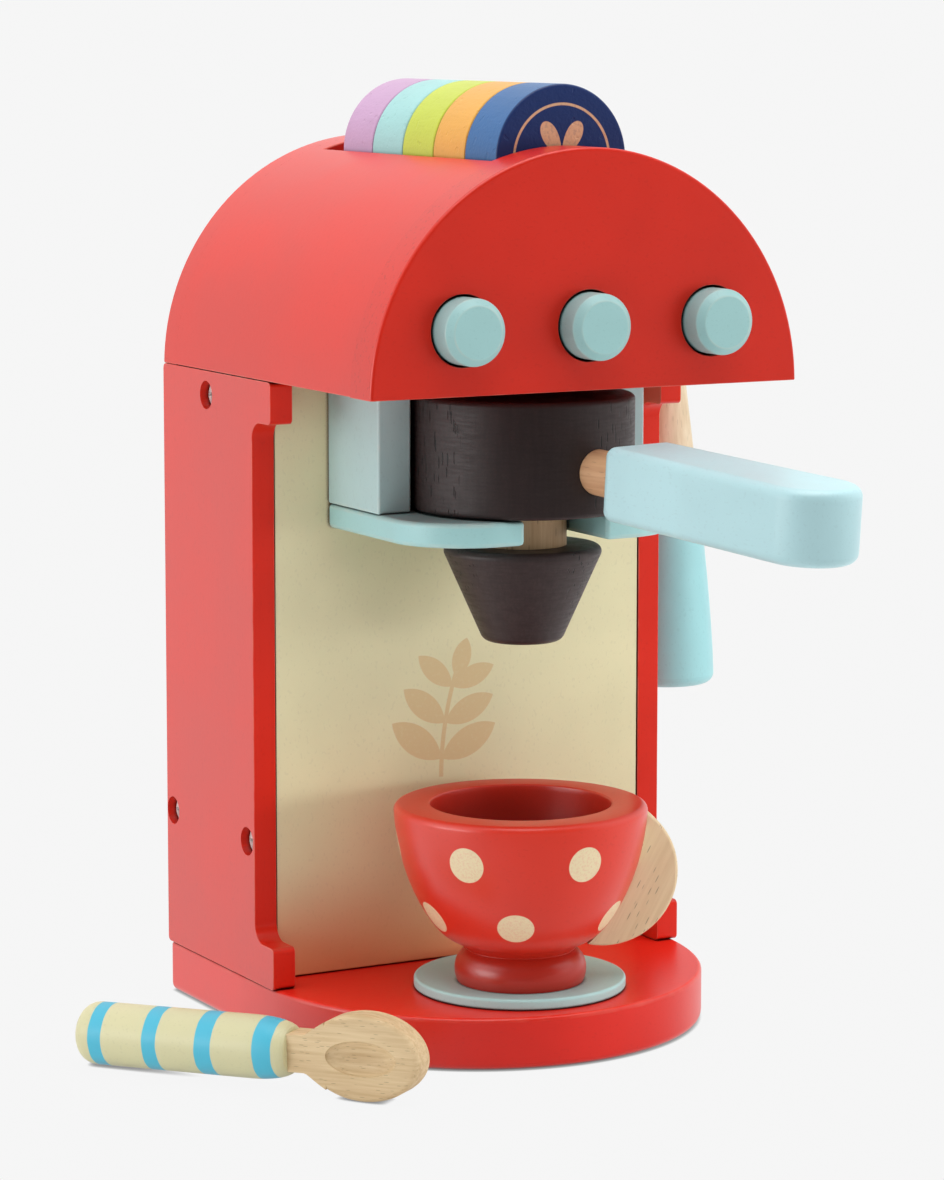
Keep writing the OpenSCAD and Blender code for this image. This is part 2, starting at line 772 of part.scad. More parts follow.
// Outer outline of the cup from the foot up to just under the lip
function cup_outline(grow = 0) = concat(
    arc([foot_d / 2 - foot_r, foot_r * foot_low], foot_r + grow, -asin(foot_low), 45, 8),
    [for (i = [0:16]) let (h = waist_h + (bowl_top - waist_h) * (1 - cos(i * 90 / 16)))
        [bowl_radius(h) + grow, h]]);

module cup_body() color(RED) translate([cup_c[0], cup_c[1], cup_z]) turned(concat(
    [[0, 0]],
    cup_outline(),
    arc([bowl_radius(bowl_top) - lip_r, bowl_top], lip_r, 10, 90),
    arc([mouth_d / 2 + 0.6, cup_h - 0.6], 0.6, 90, 180, 3),
    [for (i = [0:16]) let (a = i * 90 / 16)
        [mouth_d / 2 * cos(a), cup_h - 2 - (mouth_deep - 2) * sin(a)]]
));

// Beech ear sawn from a disc and coped to the outside of the bowl
module cup_handle() color(BEECH) translate([cup_c[0], cup_c[1], cup_z]) difference() {
    rotate(ear_turn) translate([ear_out, ear_t / 2, ear_d / 2 + waist_h + ear_up])
        rotate([90, 0, 0]) turned_disc(ear_d / 2, ear_t, 1);
    turned(concat([[0, -eps]], [[foot_d / 2, -eps]], cup_outline(fit), [[cup_d / 2 + fit, 2 * cup_h], [0, 2 * cup_h]]));
}

// ---------- steam wand ----------

module wand_at() {
    translate([wand_x, wand_c, wand_z]) children();
}

// Natural wood stem, hung on its pin; the foot is a tenon in the grip
module wand_stem() color(BEECH) wand_at() difference() {
    turned(concat(
        [[0, -wand_bare - wand_tenon], [wand_neck_r * 0.9, -wand_bare - wand_tenon], [wand_neck_r * 0.9, -wand_bare],
         [wand_mid_d / 2, -wand_bare]],
        arc([0, wand_over - wand_neck_r], wand_neck_r, 8, 90, 8)
    ), 64);
    translate([-wand_mid_d, 0, 0]) along_x() cylinder(d = pin_d + 2 * fit, h = wand_mid_d + pin_in + glue, $fn = 48);
}

// Painted grip, swelling gently to a rounded end
module wand_grip() color(TEAL) wand_at() {
    end_r = wand_end_d / 2;
    e = 3;
    translate([0, 0, -wand_bare]) turned(concat(
        [[0, -wand_painted]],
        arc([end_r - e, -wand_painted + e], e, -90, 0),
        [for (i = [1:8]) let (t = i / 8)
            [end_r - (end_r - wand_mid_d / 2) * pow(t, 1.35), -wand_painted + e + (wand_painted - e) * t]],
        [[wand_neck_r * 0.9 + fit, 0], [wand_neck_r * 0.9 + fit, -wand_tenon - glue], [0, -wand_tenon - glue]]
    ));
}

// Turned washer that holds the wand off the side panel
module wand_spacer() color(BEECH) translate([half_w, wand_c, wand_z]) along_x() difference() {
    cylinder(d = washer_d, h = wand_spacer_l, $fn = 64);
    translate([0, 0, -eps]) cylinder(d = pin_d + 2 * fit, h = wand_spacer_l + 2 * eps, $fn = 48);
}

// Pin glued into the stem: it turns in the panel, and its head holds it inside the column
module wand_pin() color(BEECH) translate([0, wand_c, wand_z]) {
    head_x = half_w - side_t - seat - pin_head_t;
    translate([head_x, 0, 0]) along_x() cylinder(d = pin_d, h = wand_x + pin_in - head_x, $fn = 48);
    translate([head_x, 0, 0]) along_x() turned_disc(pin_head_d / 2, pin_head_t, 0.5);
}

// ---------- spoon ----------

// Lays the spoon on the floor on the round of its handle and the edge of its bowl
module lay_spoon() {
    translate([spoon_at[0], spoon_at[1], spoon_z])
        rotate([0, 0, spoon_heading]) rotate([0, -spoon_tilt, 0]) children();
}

module spoon_handle() color(CREAM) lay_spoon() along_x() difference() {
    e = spoon_butt;
    end_r = neck_w / 2 + 0.6;
    turned(concat(
        [[0, 0]],
        arc([spoon_d / 2 - e, e], e, -90, 0),
        oval([end_r, spoon_l - spoon_shoulder], spoon_d / 2 - end_r, spoon_shoulder, 0, 90),
        [[0, spoon_l]]
    ));
    translate([0, 0, spoon_l - spoon_tenon - glue])
        cylinder(d = tenon_d + 2 * fit, h = spoon_tenon + glue + eps, $fn = 64);
}

// Half width of the neck at distance x from the butt, flaring softly into the oval of the bowl
function neck_edge(x) =
    let (
        neck = neck_w / 2,
        oval = bowl_w / 2 * sqrt(max(0, 1 - pow((x - spoon_reach) / (bowl_l / 2), 2))),
        near = max(0, 1 - abs(neck - oval) / neck_flare))
    max(neck, oval) + near * near * neck_flare / 4;

// Neck and bowl sawn from one board, with a hollow ground into one side and a round tenon
module spoon_bowl() color(BEECH) lay_spoon() difference() {
    steps = 14;
    flare_end = spoon_reach - bowl_l / 2 * sqrt(1 - pow((neck_w + 2 * neck_flare) / bowl_w, 2));
    edge = [for (i = [0:steps]) let (x = spoon_l + (flare_end - spoon_l) * i / steps) [x, neck_edge(x)]];
    union() {
        translate([spoon_l - spoon_tenon, 0, 0]) along_x()
            cylinder(d = tenon_d, h = spoon_tenon + eps, $fn = 64);
        translate([0, bowl_t / 2, 0]) rotate([90, 0, 0]) linear_extrude(bowl_t)
            polygon(concat(edge, [for (i = [steps:-1:0]) [edge[i][0], -edge[i][1]]]));
        translate([spoon_reach, -bowl_t / 2, 0]) scale([bowl_l / bowl_w, 1, 1]) along_y()
            turned_disc(bowl_w / 2, bowl_t, bowl_ease);
    }
    translate([spoon_reach, -bowl_t / 2, 0])
        scale([hollow_l / 2, hollow_deep, hollow_w / 2]) sphere(r = 1, $fn = 64);
}

// ---------- fasteners ----------

module side_screws() color(STEEL)
    for (side = [-1, 1]) at_side_screws(side) translate([0, 0, -head_sink]) screw(side_screw_l);

module base_screws() color(STEEL)
    at_base_screws() translate([0, 0, -head_sink]) screw(base_screw_l - head_sink);

module arch_screws() color(STEEL)
    at_arch_screws() translate([0, 0, -head_sink]) screw(arch_screw_l - head_sink);

base_board();
side_panel_left();
side_panel_right();
front_panel();
rear_panel();
top_rail();
arch_floor();
arch_front();
arch_shell();
arch_back();
pod_trough();
button_guide();
button_left();
button_middle();
button_right();
button_spring_left();
button_spring_middle();
button_spring_right();
head_block_left();
head_block_right();
head_plate();
head_pegs();
filter_neck();
filter_drum();
filter_spout();
handle_dowel();
handle_grip();
pod_lilac();
pod_aqua();
pod_lime();
pod_orange();
pod_blue();
saucer();
cup_body();
cup_handle();
wand_stem();
wand_grip();
wand_spacer();
wand_pin();
spoon_handle();
spoon_bowl();
side_screws();
base_screws();
arch_screws();
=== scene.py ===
import math

import bmesh
import bpy
from mathutils import Matrix, Vector


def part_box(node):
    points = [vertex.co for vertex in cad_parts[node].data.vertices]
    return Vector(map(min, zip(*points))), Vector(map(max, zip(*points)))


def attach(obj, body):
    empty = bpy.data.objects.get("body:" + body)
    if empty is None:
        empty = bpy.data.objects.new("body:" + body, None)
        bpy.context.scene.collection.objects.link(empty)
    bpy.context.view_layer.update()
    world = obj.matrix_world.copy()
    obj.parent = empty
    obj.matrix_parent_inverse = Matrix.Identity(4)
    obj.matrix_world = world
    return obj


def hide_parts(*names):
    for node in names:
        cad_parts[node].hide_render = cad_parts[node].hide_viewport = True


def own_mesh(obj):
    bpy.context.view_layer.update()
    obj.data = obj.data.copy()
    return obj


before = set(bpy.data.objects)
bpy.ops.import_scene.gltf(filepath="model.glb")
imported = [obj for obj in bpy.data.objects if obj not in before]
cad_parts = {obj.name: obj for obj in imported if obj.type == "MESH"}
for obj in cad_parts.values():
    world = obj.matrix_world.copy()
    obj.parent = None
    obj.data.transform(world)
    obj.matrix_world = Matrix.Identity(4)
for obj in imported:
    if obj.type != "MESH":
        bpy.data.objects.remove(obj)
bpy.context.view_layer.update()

# ---- Camera ---------------------------------------------------------------------------
# Stands 1.1 m from the machine, 29 degrees to the left of its front and just above its top,
# and looks down by seven degrees through a long lens, so that uprights stay nearly parallel.

IMAGE_W = 944
IMAGE_H = 1180
FOCAL_PX = 3962.73
CENTRE_PX = (500.57, 529.21)
SENSOR_MM = 36.0
CAMERA_AT = (-0.54221, -0.99389, 0.29075)
CAMERA_TURN = (82.532, -0.084, -28.995)

camera_data = bpy.data.cameras.new("camera")
camera_data.lens = FOCAL_PX * SENSOR_MM / IMAGE_H
camera_data.shift_x = (IMAGE_W / 2 - CENTRE_PX[0]) / IMAGE_H
camera_data.shift_y = (CENTRE_PX[1] - IMAGE_H / 2) / IMAGE_H
camera = bpy.data.objects.new("camera", camera_data)
camera.location = CAMERA_AT
camera.rotation_euler = [math.radians(turn) for turn in CAMERA_TURN]
bpy.context.scene.collection.objects.link(camera)
bpy.context.scene.camera = camera
bpy.context.scene.view_settings.view_transform = "Standard"

# ---- Studio ---------------------------------------------------------------------------
# A white sweep under two wide softboxes overhead, with two more at each side, one of them
# low. The room is bright behind and dim in front, which gives the gloss its shape.

WHITE = 0.92
PAPER = 0.82
AMBIENT = 0.24
BACK_ROOM = 1.0
FRONT_ROOM = 0.08
FLOOR_SIZE = 8.0
TOUCH_REACH = 0.0013
HALO_REACH = 0.030
LAMPS_AIM = (0.0, 0.0, 0.12)
# Each by its place, its size, its power in watts and whether gloss mirrors it
SOFTBOXES = {
    "softbox_top": ((0.05, -0.35, 1.55), (1.4, 1.2), 16.5, True),
    "softbox_back": ((0.10, 0.80, 1.40), (1.4, 1.2), 10.5, False),
    "softbox_left": ((-1.30, 0.10, 0.75), (1.3, 1.3), 4.5, True),
    "softbox_left_low": ((-1.40, 0.00, 0.15), (1.0, 0.6), 6.5, True),
    "softbox_right": ((1.20, -0.55, 0.70), (1.0, 1.2), 5.0, True),
    "fill_right_low": ((0.85, -1.00, 0.14), (1.0, 0.26), 4.5, False),
}


def put(tree, kind, inputs=(), **settings):
    """Adds one shader node. An input takes a socket to link or a plain value."""
    node = tree.nodes.new("ShaderNode" + kind)
    for key, value in settings.items():
        setattr(node, key, value)
    for key, value in dict(inputs).items():
        if isinstance(value, bpy.types.NodeSocket):
            tree.links.new(value, node.inputs[key])
        else:
            node.inputs[key].default_value = value
    return node


def maths(tree, operation, a, b=0.0):
    return put(tree, "Math", {0: a, 1: b}, operation=operation).outputs[0]


def spread(tree, value, low, high, start=0.0, end=1.0):
    """Goes softly from start to end while value goes from low to high."""
    inputs = {"Value": value, "From Min": low, "From Max": high, "To Min": start, "To Max": end}
    return put(tree, "MapRange", inputs, interpolation_type="SMOOTHSTEP").outputs[0]


def openness(tree, reach, samples, own=False):
    """From 0 in a corner to 1 in the open, as far as reach. With own, of the piece alone."""
    return put(tree, "AmbientOcclusion", {"Distance": reach}, samples=samples, only_local=own).outputs["AO"]


def seen_in_gloss(tree, path):
    return maths(tree, "MAXIMUM", path.outputs["Is Glossy Ray"], path.outputs["Is Transmission Ray"])


def light_room(world):
    """White for the eye, and for gloss bright behind the object and dim in front of it."""
    world.use_nodes = True
    tree = world.node_tree
    path = put(tree, "LightPath")
    way = put(tree, "SeparateXYZ", {0: put(tree, "TexCoord").outputs["Generated"]})
    room = spread(tree, way.outputs[1], -0.35, 0.25, FRONT_ROOM, BACK_ROOM)
    unseen = put(tree, "Mix", {0: seen_in_gloss(tree, path), 2: AMBIENT, 3: room}).outputs[0]
    strength = put(tree, "Mix", {0: path.outputs["Is Camera Ray"], 2: unseen, 3: WHITE}).outputs[0]
    background = tree.nodes["Background"]
    background.inputs["Color"].default_value = (1.0, 1.0, 1.0, 1.0)
    tree.links.new(strength, background.inputs["Strength"])


def glow(tree, strength):
    return put(tree, "Emission", {"Color": (1.0, 1.0, 1.0, 1.0), "Strength": strength}).outputs[0]


def sweep_finish():
    """White paper: even to the eye, with the object's own soft shadow where it touches."""
    material = bpy.data.materials.new("white_sweep")
    material.use_nodes = True
    tree = material.node_tree
    paper = tree.nodes["Principled BSDF"]
    paper.inputs["Base Color"].default_value = (PAPER, PAPER, PAPER, 1.0)
    paper.inputs["Roughness"].default_value = 0.9
    path = put(tree, "LightPath")
    contact = spread(tree, openness(tree, TOUCH_REACH, 16), 0.0, 1.0, 0.30, 1.0)
    halo = spread(tree, openness(tree, HALO_REACH, 16), 0.0, 1.0, 0.985, 1.0)
    shade = maths(tree, "MULTIPLY", maths(tree, "MULTIPLY", contact, halo), WHITE)
    place = put(tree, "SeparateXYZ", {0: put(tree, "TexCoord").outputs["Object"]})
    rightward = maths(tree, "MULTIPLY", maths(tree, "MAXIMUM", place.outputs[0], 0.0), 0.8)
    back = maths(tree, "ADD", place.outputs[1], rightward)
    room = spread(tree, back, -0.25, 0.05, FRONT_ROOM, BACK_ROOM)
    reflected = {0: seen_in_gloss(tree, path), 1: paper.outputs[0], 2: glow(tree, room)}
    bounced = put(tree, "MixShader", reflected).outputs[0]
    viewed = {0: path.outputs["Is Camera Ray"], 1: bounced, 2: glow(tree, shade)}
    seen = put(tree, "MixShader", viewed).outputs[0]
    tree.links.new(seen, tree.nodes["Material Output"].inputs["Surface"])
    return material


room_light = bpy.data.worlds.new("studio")
bpy.context.scene.world = room_light
light_room(room_light)

sweep_mesh = bmesh.new()
bmesh.ops.create_grid(sweep_mesh, x_segments=1, y_segments=1, size=FLOOR_SIZE / 2)
sweep_data = bpy.data.meshes.new("sweep")
sweep_mesh.to_mesh(sweep_data)
sweep_mesh.free()
sweep = bpy.data.objects.new("sweep", sweep_data)
sweep_data.materials.append(sweep_finish())
bpy.context.scene.collection.objects.link(sweep)

for lamp_name, (lamp_at, lamp_size, power, mirrored) in SOFTBOXES.items():
    lamp_data = bpy.data.lights.new(lamp_name, "AREA")
    lamp_data.shape = "RECTANGLE"
    lamp_data.size, lamp_data.size_y = lamp_size
    lamp_data.energy = power
    lamp = bpy.data.objects.new(lamp_name, lamp_data)
    lamp.location = lamp_at
    lamp.visible_glossy = mirrored
    lamp.rotation_euler = (Vector(LAMPS_AIM) - Vector(lamp_at)).to_track_quat("-Z", "Y").to_euler()
    bpy.context.scene.collection.objects.link(lamp)

# ---- Base board -----------------------------------------------------------------------
# A D-shaped board of beech with a half-round nose, a slightly wider rear, eased edges and
# four screw bores below. Two coats of satin red pull thin along its edges, and the faintest
# grain lifts through them.

BASE_FLARE = 0.0014
FLARE_FROM = -0.025
FLARE_TO = 0.018
FLARE_STEPS = 5
NOSE_STEPS = 36
BASE_CORNER = 0.0032
BASE_TOP_EDGE = 0.0012
BASE_FOOT_EDGE = 0.0025
TOP_WEAR = 0.35
HEAD_R = 0.0036
BORE_R = 0.0041
BORE_SIDES = 32
BORE_DEPTH = 0.005
SHANK_R = 0.0018
SHANK_DEPTH = 0.0098
EDGE_SHARP = math.radians(30.0)
SEAM_REACH = 0.0014


def srgb(red, green, blue):
    """A colour as seen on screen, 0 to 255, as the shader's linear values."""
    def linear(level):
        level /= 255.0
        return level / 12.92 if level <= 0.04045 else ((level + 0.055) / 1.055) ** 2.4
    return (linear(red), linear(green), linear(blue), 1.0)


def tint(tree, amount, first, second):
    """Colour that goes from first to second with amount."""
    return put(tree, "Mix", {0: amount, 6: first, 7: second}, data_type="RGBA").outputs[2]


def shaded(colour, level):
    return (colour[0] * level, colour[1] * level, colour[2] * level, 1.0)


def noise(tree, vector, scale, detail=2.0, roughness=0.5):
    inputs = {"Vector": vector, "Scale": scale, "Detail": detail, "Roughness": roughness}
    return put(tree, "TexNoise", inputs).outputs["Fac"]


def stretch(tree, vector, scale):
    return put(tree, "Mapping", {"Vector": vector, "Scale": scale}).outputs[0]


def bare_shader(name):
    """A new material with its shader and the object's own coordinates."""
    material = bpy.data.materials.new(name)
    material.use_nodes = True
    tree = material.node_tree
    return material, tree, tree.nodes["Principled BSDF"], put(tree, "TexCoord").outputs["Object"]


def relief(tree, shader, layers):
    """Stacks bump layers of (height, depth in metres, strength) on the shader."""
    normal = None
    for height, depth, strength in layers:
        inputs = {"Height": height, "Distance": depth, "Strength": strength}
        if normal is not None:
            inputs["Normal"] = normal
        normal = put(tree, "Bump", inputs).outputs[0]
    tree.links.new(normal, shader.inputs["Normal"])


def fleck_stretch(grain):
    """Flecks run a little way along the grain, far less than the fibres under the paint."""
    return tuple(0.5 + 0.5 * way for way in grain)


def crease_shadow(tree, coat):
    """Painted shade: darkens the paint where a tight joint hides it from light, so that a thin dark line
    follows each seam.
    """
    near = spread(tree, openness(tree, SEAM_REACH, 6), 0.25, 0.85, 1.0, 0.0)
    inputs = {0: near, 6: coat, 7: (0.16, 0.14, 0.14, 1.0)}
    return put(tree, "Mix", inputs, data_type="RGBA", blend_type="MULTIPLY").outputs[2]


def paint_layers(tree, shader, coords, colour, grain, roughness, seam_shadow=True):
    """Sprayed paint on wood: cloudy tone, fine flecks, thin edges, grain and orange peel, and painted shade
    in tight seams unless that is turned off.
    """
    fibres = noise(tree, stretch(tree, coords, grain), 420.0, 2.0)
    clouds = noise(tree, coords, 26.0, 3.0)
    peel = noise(tree, coords, 850.0, 0.0)
    flecks = spread(tree, noise(tree, stretch(tree, coords, fleck_stretch(grain)), 1500.0, 0.0), 0.68, 0.76)
    wear = spread(tree, noise(tree, coords, 140.0, 2.0), 0.36, 0.66, 0.10, 0.42)
    thin = maths(tree, "MULTIPLY", put(tree, "Attribute", attribute_name="worn").outputs["Fac"], wear)
    tone = tint(tree, spread(tree, clouds, 0.3, 0.7), shaded(colour, 0.96), shaded(colour, 1.04))
    tone = tint(tree, maths(tree, "MULTIPLY", flecks, 0.16), tone, shaded(colour, 0.70))
    pale = tuple(0.72 * coat + 0.28 * primer for coat, primer in zip(colour, srgb(244, 214, 184)))
    tone = tint(tree, thin, tone, pale)
    # Painted shade along the seams
    if seam_shadow:
        tone = crease_shadow(tree, tone)
    tree.links.new(tone, shader.inputs["Base Color"])
    rough = spread(tree, clouds, 0.25, 0.75, roughness - 0.02, roughness + 0.04)
    tree.links.new(rough, shader.inputs["Roughness"])
    relief(tree, shader, [(fibres, 0.00003, 0.4), (peel, 0.00002, 0.4)])
    return tone


def satin_paint(name, colour, grain, roughness=0.31):
    """Satin paint over wood whose fibres run where the grain's factor is small."""
    material, tree, shader, coords = bare_shader(name)
    paint_layers(tree, shader, coords, colour, grain, roughness)
    return material


def by_side(tree, front, side, top):
    """One value on faces that look forward, one on the sides and one on the tops."""
    facing = put(tree, "SeparateXYZ", {0: put(tree, "TexCoord").outputs["Normal"]})
    forward = maths(tree, "MULTIPLY", facing.outputs[1], -1.0)
    level = spread(tree, forward, 0.5, 0.95, side, front)
    upward = spread(tree, facing.outputs[2], 0.5, 0.95)
    return put(tree, "Mix", {0: upward, 2: level, 3: top}).outputs[0]


def gloss_by_side(material, front, side, top):
    """Faces that look forward, sideways and up are rubbed down unequally between coats."""
    tree = material.node_tree
    shader = tree.nodes["Principled BSDF"]
    tree.links.new(by_side(tree, front, side, top), shader.inputs["Specular IOR Level"])


def painted_light_by_side(material, front, side, top):
    """Painted light and shade: scales the colour up or down on faces that look forward, sideways and up,
    for how the light falls on them.
    """
    tree = material.node_tree
    base = tree.nodes["Principled BSDF"].inputs["Base Color"]
    inputs = {0: base.links[0].from_socket, 3: by_side(tree, front, side, top)}
    tree.links.new(put(tree, "VectorMath", inputs, operation="SCALE").outputs[0], base)


def show(name, mesh, material, body, node, smooth=True):
    """Makes a finished mesh a piece of the scene that stands for a piece of the frame."""
    data = bpy.data.meshes.new(name)
    mesh.to_mesh(data)
    mesh.free()
    for face in data.polygons:
        face.use_smooth = smooth
    data.materials.append(material)
    piece = bpy.data.objects.new(name, data)
    bpy.context.scene.collection.objects.link(piece)
    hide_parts(node)
    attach(piece, body)
    return piece


def lies_at(edge, axis, level):
    """Whether both ends of an edge lie at one level along an axis, from 0 for X to 2 for Z."""
    return all(abs(vert.co[axis] - level) < 1e-5 for vert in edge.verts)


def runs_along(edge, axis):
    way = edge.verts[1].co - edge.verts[0].co
    return abs(way[axis]) > 0.999 * way.length


def eased(mesh, edges, width, steps, clamp=False):
    """Rounds edges over and returns the new faces."""
    return bmesh.ops.bevel(
        mesh, geom=edges, offset=width, offset_type="OFFSET", segments=steps, profile=0.5,
        affect="EDGES", clamp_overlap=clamp, material=-1)["faces"]


def of_kind(kind, geom):
    return [part for part in geom if isinstance(part, kind)]


def base_outline(mesh, half, front, rear, level):
    """The board's outline as edges: a half-round nose, straight sides that flare, and the rear."""
    nose = Vector((0.0, front + half, level))
    side = [mesh.verts.new((half, rear, level))]
    for step in range(FLARE_STEPS + 1):
        side.append(mesh.verts.new((half, FLARE_TO + (nose.y - FLARE_TO) * step / FLARE_STEPS, level)))
        mesh.edges.new(side[-2:])
    bmesh.ops.spin(
        mesh, geom=side[-1:], cent=nose, axis=(0.0, 0.0, -1.0), angle=math.pi / 2, steps=NOSE_STEPS,
        use_merge=False, use_duplicate=False)
    bmesh.ops.mirror(
        mesh, geom=mesh.verts[:] + mesh.edges[:], matrix=Matrix(), merge_dist=1e-6, axis="X")
    mesh.edges.new([vert for vert in mesh.verts if vert.co.y > rear - 1e-6])
    for vert in mesh.verts:
        share = min(max((vert.co.y - FLARE_FROM) / (FLARE_TO - FLARE_FROM), 0.0), 1.0)
        vert.co.x += math.copysign(BASE_FLARE * share * share * (3.0 - 2.0 * share), vert.co.x)


def drill_below(mesh, level, places):
    """Opens the underside for the screws: a counterbore with a shank hole, closed at its end."""
    under = [face for face in mesh.faces if all(abs(vert.co.z - level) < 1e-6 for vert in face.verts)]
    rims = list(under[0].edges)
    bmesh.ops.delete(mesh, geom=under, context="FACES_ONLY")
    bores = []
    for place in places:
        ring = bmesh.ops.create_circle(
            mesh, segments=BORE_SIDES, radius=BORE_R, matrix=Matrix.Translation(place))["verts"]
        bores.append((place, list({edge for vert in ring for edge in vert.link_edges})))
    rings = [edge for _, ring in bores for edge in ring]
    bmesh.ops.triangle_fill(mesh, use_beauty=True, edges=rims + rings)
    for place, ring in bores:
        about = Matrix.Translation(-place)
        for rise, narrow in ((BORE_DEPTH, 1.0), (0.0, SHANK_R / BORE_R), (SHANK_DEPTH, 1.0)):
            grown = bmesh.ops.extrude_edge_only(mesh, edges=ring)["geom"]
            ring = of_kind(bmesh.types.BMEdge, grown)
            verts = of_kind(bmesh.types.BMVert, grown)
            bmesh.ops.scale(mesh, verts=verts, vec=(narrow, narrow, 1.0), space=about)
            bmesh.ops.translate(mesh, verts=verts, vec=(0.0, 0.0, rise))
        bmesh.ops.contextual_create(mesh, geom=ring)


base_red = satin_paint("red_paint_base", srgb(222, 39, 26), (0.08, 1.0, 1.0))
gloss_by_side(base_red, front=0.35, side=0.90, top=0.16)
# Painted light: the board's top faces are drawn lighter than its front and sides.
painted_light_by_side(base_red, front=1.02, side=1.0, top=1.18)
base_low, base_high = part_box("base_board")
base_mesh = bmesh.new()
base_wear = base_mesh.faces.layers.float.new("worn")
base_outline(base_mesh, base_high.x, base_low.y, base_high.y, base_low.z)
bmesh.ops.contextual_create(base_mesh, geom=base_mesh.edges[:])
risen = bmesh.ops.extrude_face_region(base_mesh, geom=base_mesh.faces[:])["geom"]
base_rise = (0.0, 0.0, base_high.z - base_low.z)
bmesh.ops.translate(base_mesh, verts=of_kind(bmesh.types.BMVert, risen), vec=base_rise)
bmesh.ops.recalc_face_normals(base_mesh, faces=base_mesh.faces)
rear_corners = [edge for edge in base_mesh.edges if runs_along(edge, 2) and lies_at(edge, 1, base_high.y)]
eased(base_mesh, rear_corners, BASE_CORNER, steps=6)
top_rim = [edge for edge in base_mesh.edges if lies_at(edge, 2, base_high.z)]
for face in eased(base_mesh, top_rim, BASE_TOP_EDGE, steps=4):
    face[base_wear] = TOP_WEAR
foot_rim = [edge for edge in base_mesh.edges if lies_at(edge, 2, base_low.z)]
foot_rim = [edge for edge in foot_rim if not lies_at(edge, 1, base_high.y)]
eased(base_mesh, foot_rim, BASE_FOOT_EDGE, steps=6)
screws_low, screws_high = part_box("base_screws")
screw_rows = (screws_low.y + HEAD_R, screws_high.y - HEAD_R)
screw_columns = (screws_low.x + HEAD_R, screws_high.x - HEAD_R)
screw_places = [Vector((x, y, base_low.z)) for x in screw_columns for y in screw_rows]
drill_below(base_mesh, base_low.z, screw_places)
bmesh.ops.recalc_face_normals(base_mesh, faces=base_mesh.faces)
for edge in base_mesh.edges:
    edge.smooth = edge.calc_face_angle(0.0) < EDGE_SHARP
base = show("base_board_rounded", base_mesh, base_red, "machine", "base_board")
base.modifiers.new("even_shading", "WEIGHTED_NORMAL").keep_sharp = True

# ---- Screws ---------------------------------------------------------------------------
# Cross-head wood screws of zinc-plated steel, driven below the surface: three in each side
# panel, four up through the base and two through the rail. Fine marks dull the plating.

# What lies further out than HEADS_FROM is a side screw's head, set out by HEADS_PROUD
HEADS_FROM = 0.0615
HEADS_PROUD = 0.0012


def plated_steel(name, colour, roughness, metal=1.0):
    material, tree, shader, coords = bare_shader(name)
    marks = noise(tree, coords, 2400.0, 3.0, 0.6)
    dull = noise(tree, coords, 420.0, 2.0)
    tone = tint(tree, spread(tree, dull, 0.3, 0.7), shaded(colour, 0.75), colour)
    tree.links.new(tone, shader.inputs["Base Color"])
    shader.inputs["Metallic"].default_value = metal
    tree.links.new(spread(tree, marks, 0.3, 0.7, roughness, roughness + 0.10), shader.inputs["Roughness"])
    relief(tree, shader, [(marks, 0.00003, 0.4)])
    return material


def dress(node, material):
    """Gives a piece of the frame its finish and leaves its shape alone."""
    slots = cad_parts[node].data.materials
    slots.clear()
    slots.append(material)


def joined_copy(node):
    """A piece of the frame as a new mesh, its loose triangles joined."""
    mesh = bmesh.new()
    mesh.from_mesh(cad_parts[node].data)
    bmesh.ops.remove_doubles(mesh, verts=mesh.verts, dist=1e-6)
    return mesh


screw_steel = plated_steel("screw_steel", srgb(236, 232, 230), roughness=0.29, metal=0.35)
dress("base_screws", screw_steel)
dress("arch_screws", screw_steel)
side_screws = joined_copy("side_screws")
for vert in side_screws.verts:
    if abs(vert.co.x) > HEADS_FROM:
        vert.co.x += math.copysign(HEADS_PROUD, vert.co.x)
show("side_screws_driven", side_screws, screw_steel, "machine", "side_screws", smooth=False)

# ---- Side panels ----------------------------------------------------------------------
# Two sawn panels, narrow at the waist with square flanges at foot and head. Their inner
# corners are routed round and all edges are sanded before the red goes on.

RED = srgb(213, 41, 24)
FLAT_WITHIN = math.radians(0.5)
BORE_STEP = 0.00065
PANEL_CORNER = 0.0015


def sanded_board(
        node, width, material, body="machine", corner=None, corner_r=0.0, keep=None):
    """A sawn board as the frame has it, its sharp edges sanded round by width. Edges that pass
    the corner test are rounded by corner_r, and those that pass keep stay sharp."""
    mesh = joined_copy(node)
    worn = mesh.faces.layers.float.new("worn")
    bmesh.ops.dissolve_limit(mesh, angle_limit=FLAT_WITHIN, verts=mesh.verts, edges=mesh.edges)
    sharp = [edge for edge in mesh.edges if edge.calc_face_angle(0.0) > EDGE_SHARP]
    for edge in sharp:
        edge.smooth = not (keep and keep(edge))
    if corner:
        eased(mesh, [edge for edge in sharp if corner(edge)], corner_r, steps=6, clamp=True)
    sharp = [edge for edge in mesh.edges if edge.smooth and edge.calc_face_angle(0.0) > EDGE_SHARP]
    for face in eased(mesh, sharp, width, steps=3):
        face[worn] = 1.0
    board = show(node + "_sanded", mesh, material, body, node)
    board.modifiers.new("even_shading", "WEIGHTED_NORMAL").keep_sharp = True
    return board


red_upright = satin_paint("red_paint_upright", RED, (1.0, 1.0, 0.08))
gloss_by_side(red_upright, front=0.20, side=0.80, top=0.50)
# Painted light: the panels' front faces are drawn lighter than their sides.
painted_light_by_side(red_upright, front=1.12, side=1.0, top=1.0)
for side_node in ("side_panel_left", "side_panel_right"):
    sanded_board(
        side_node, 0.00025, red_upright, corner=lambda edge: runs_along(edge, 0),
        corner_r=PANEL_CORNER, keep=lambda edge: edge.calc_length() < BORE_STEP)

# ---- Front panel ----------------------------------------------------------------------
# The cream board under the filter, set between the side panels with a thin shadow gap.
# A tan sprig of leaves is screen-printed on it, in ink that covers a little unevenly.

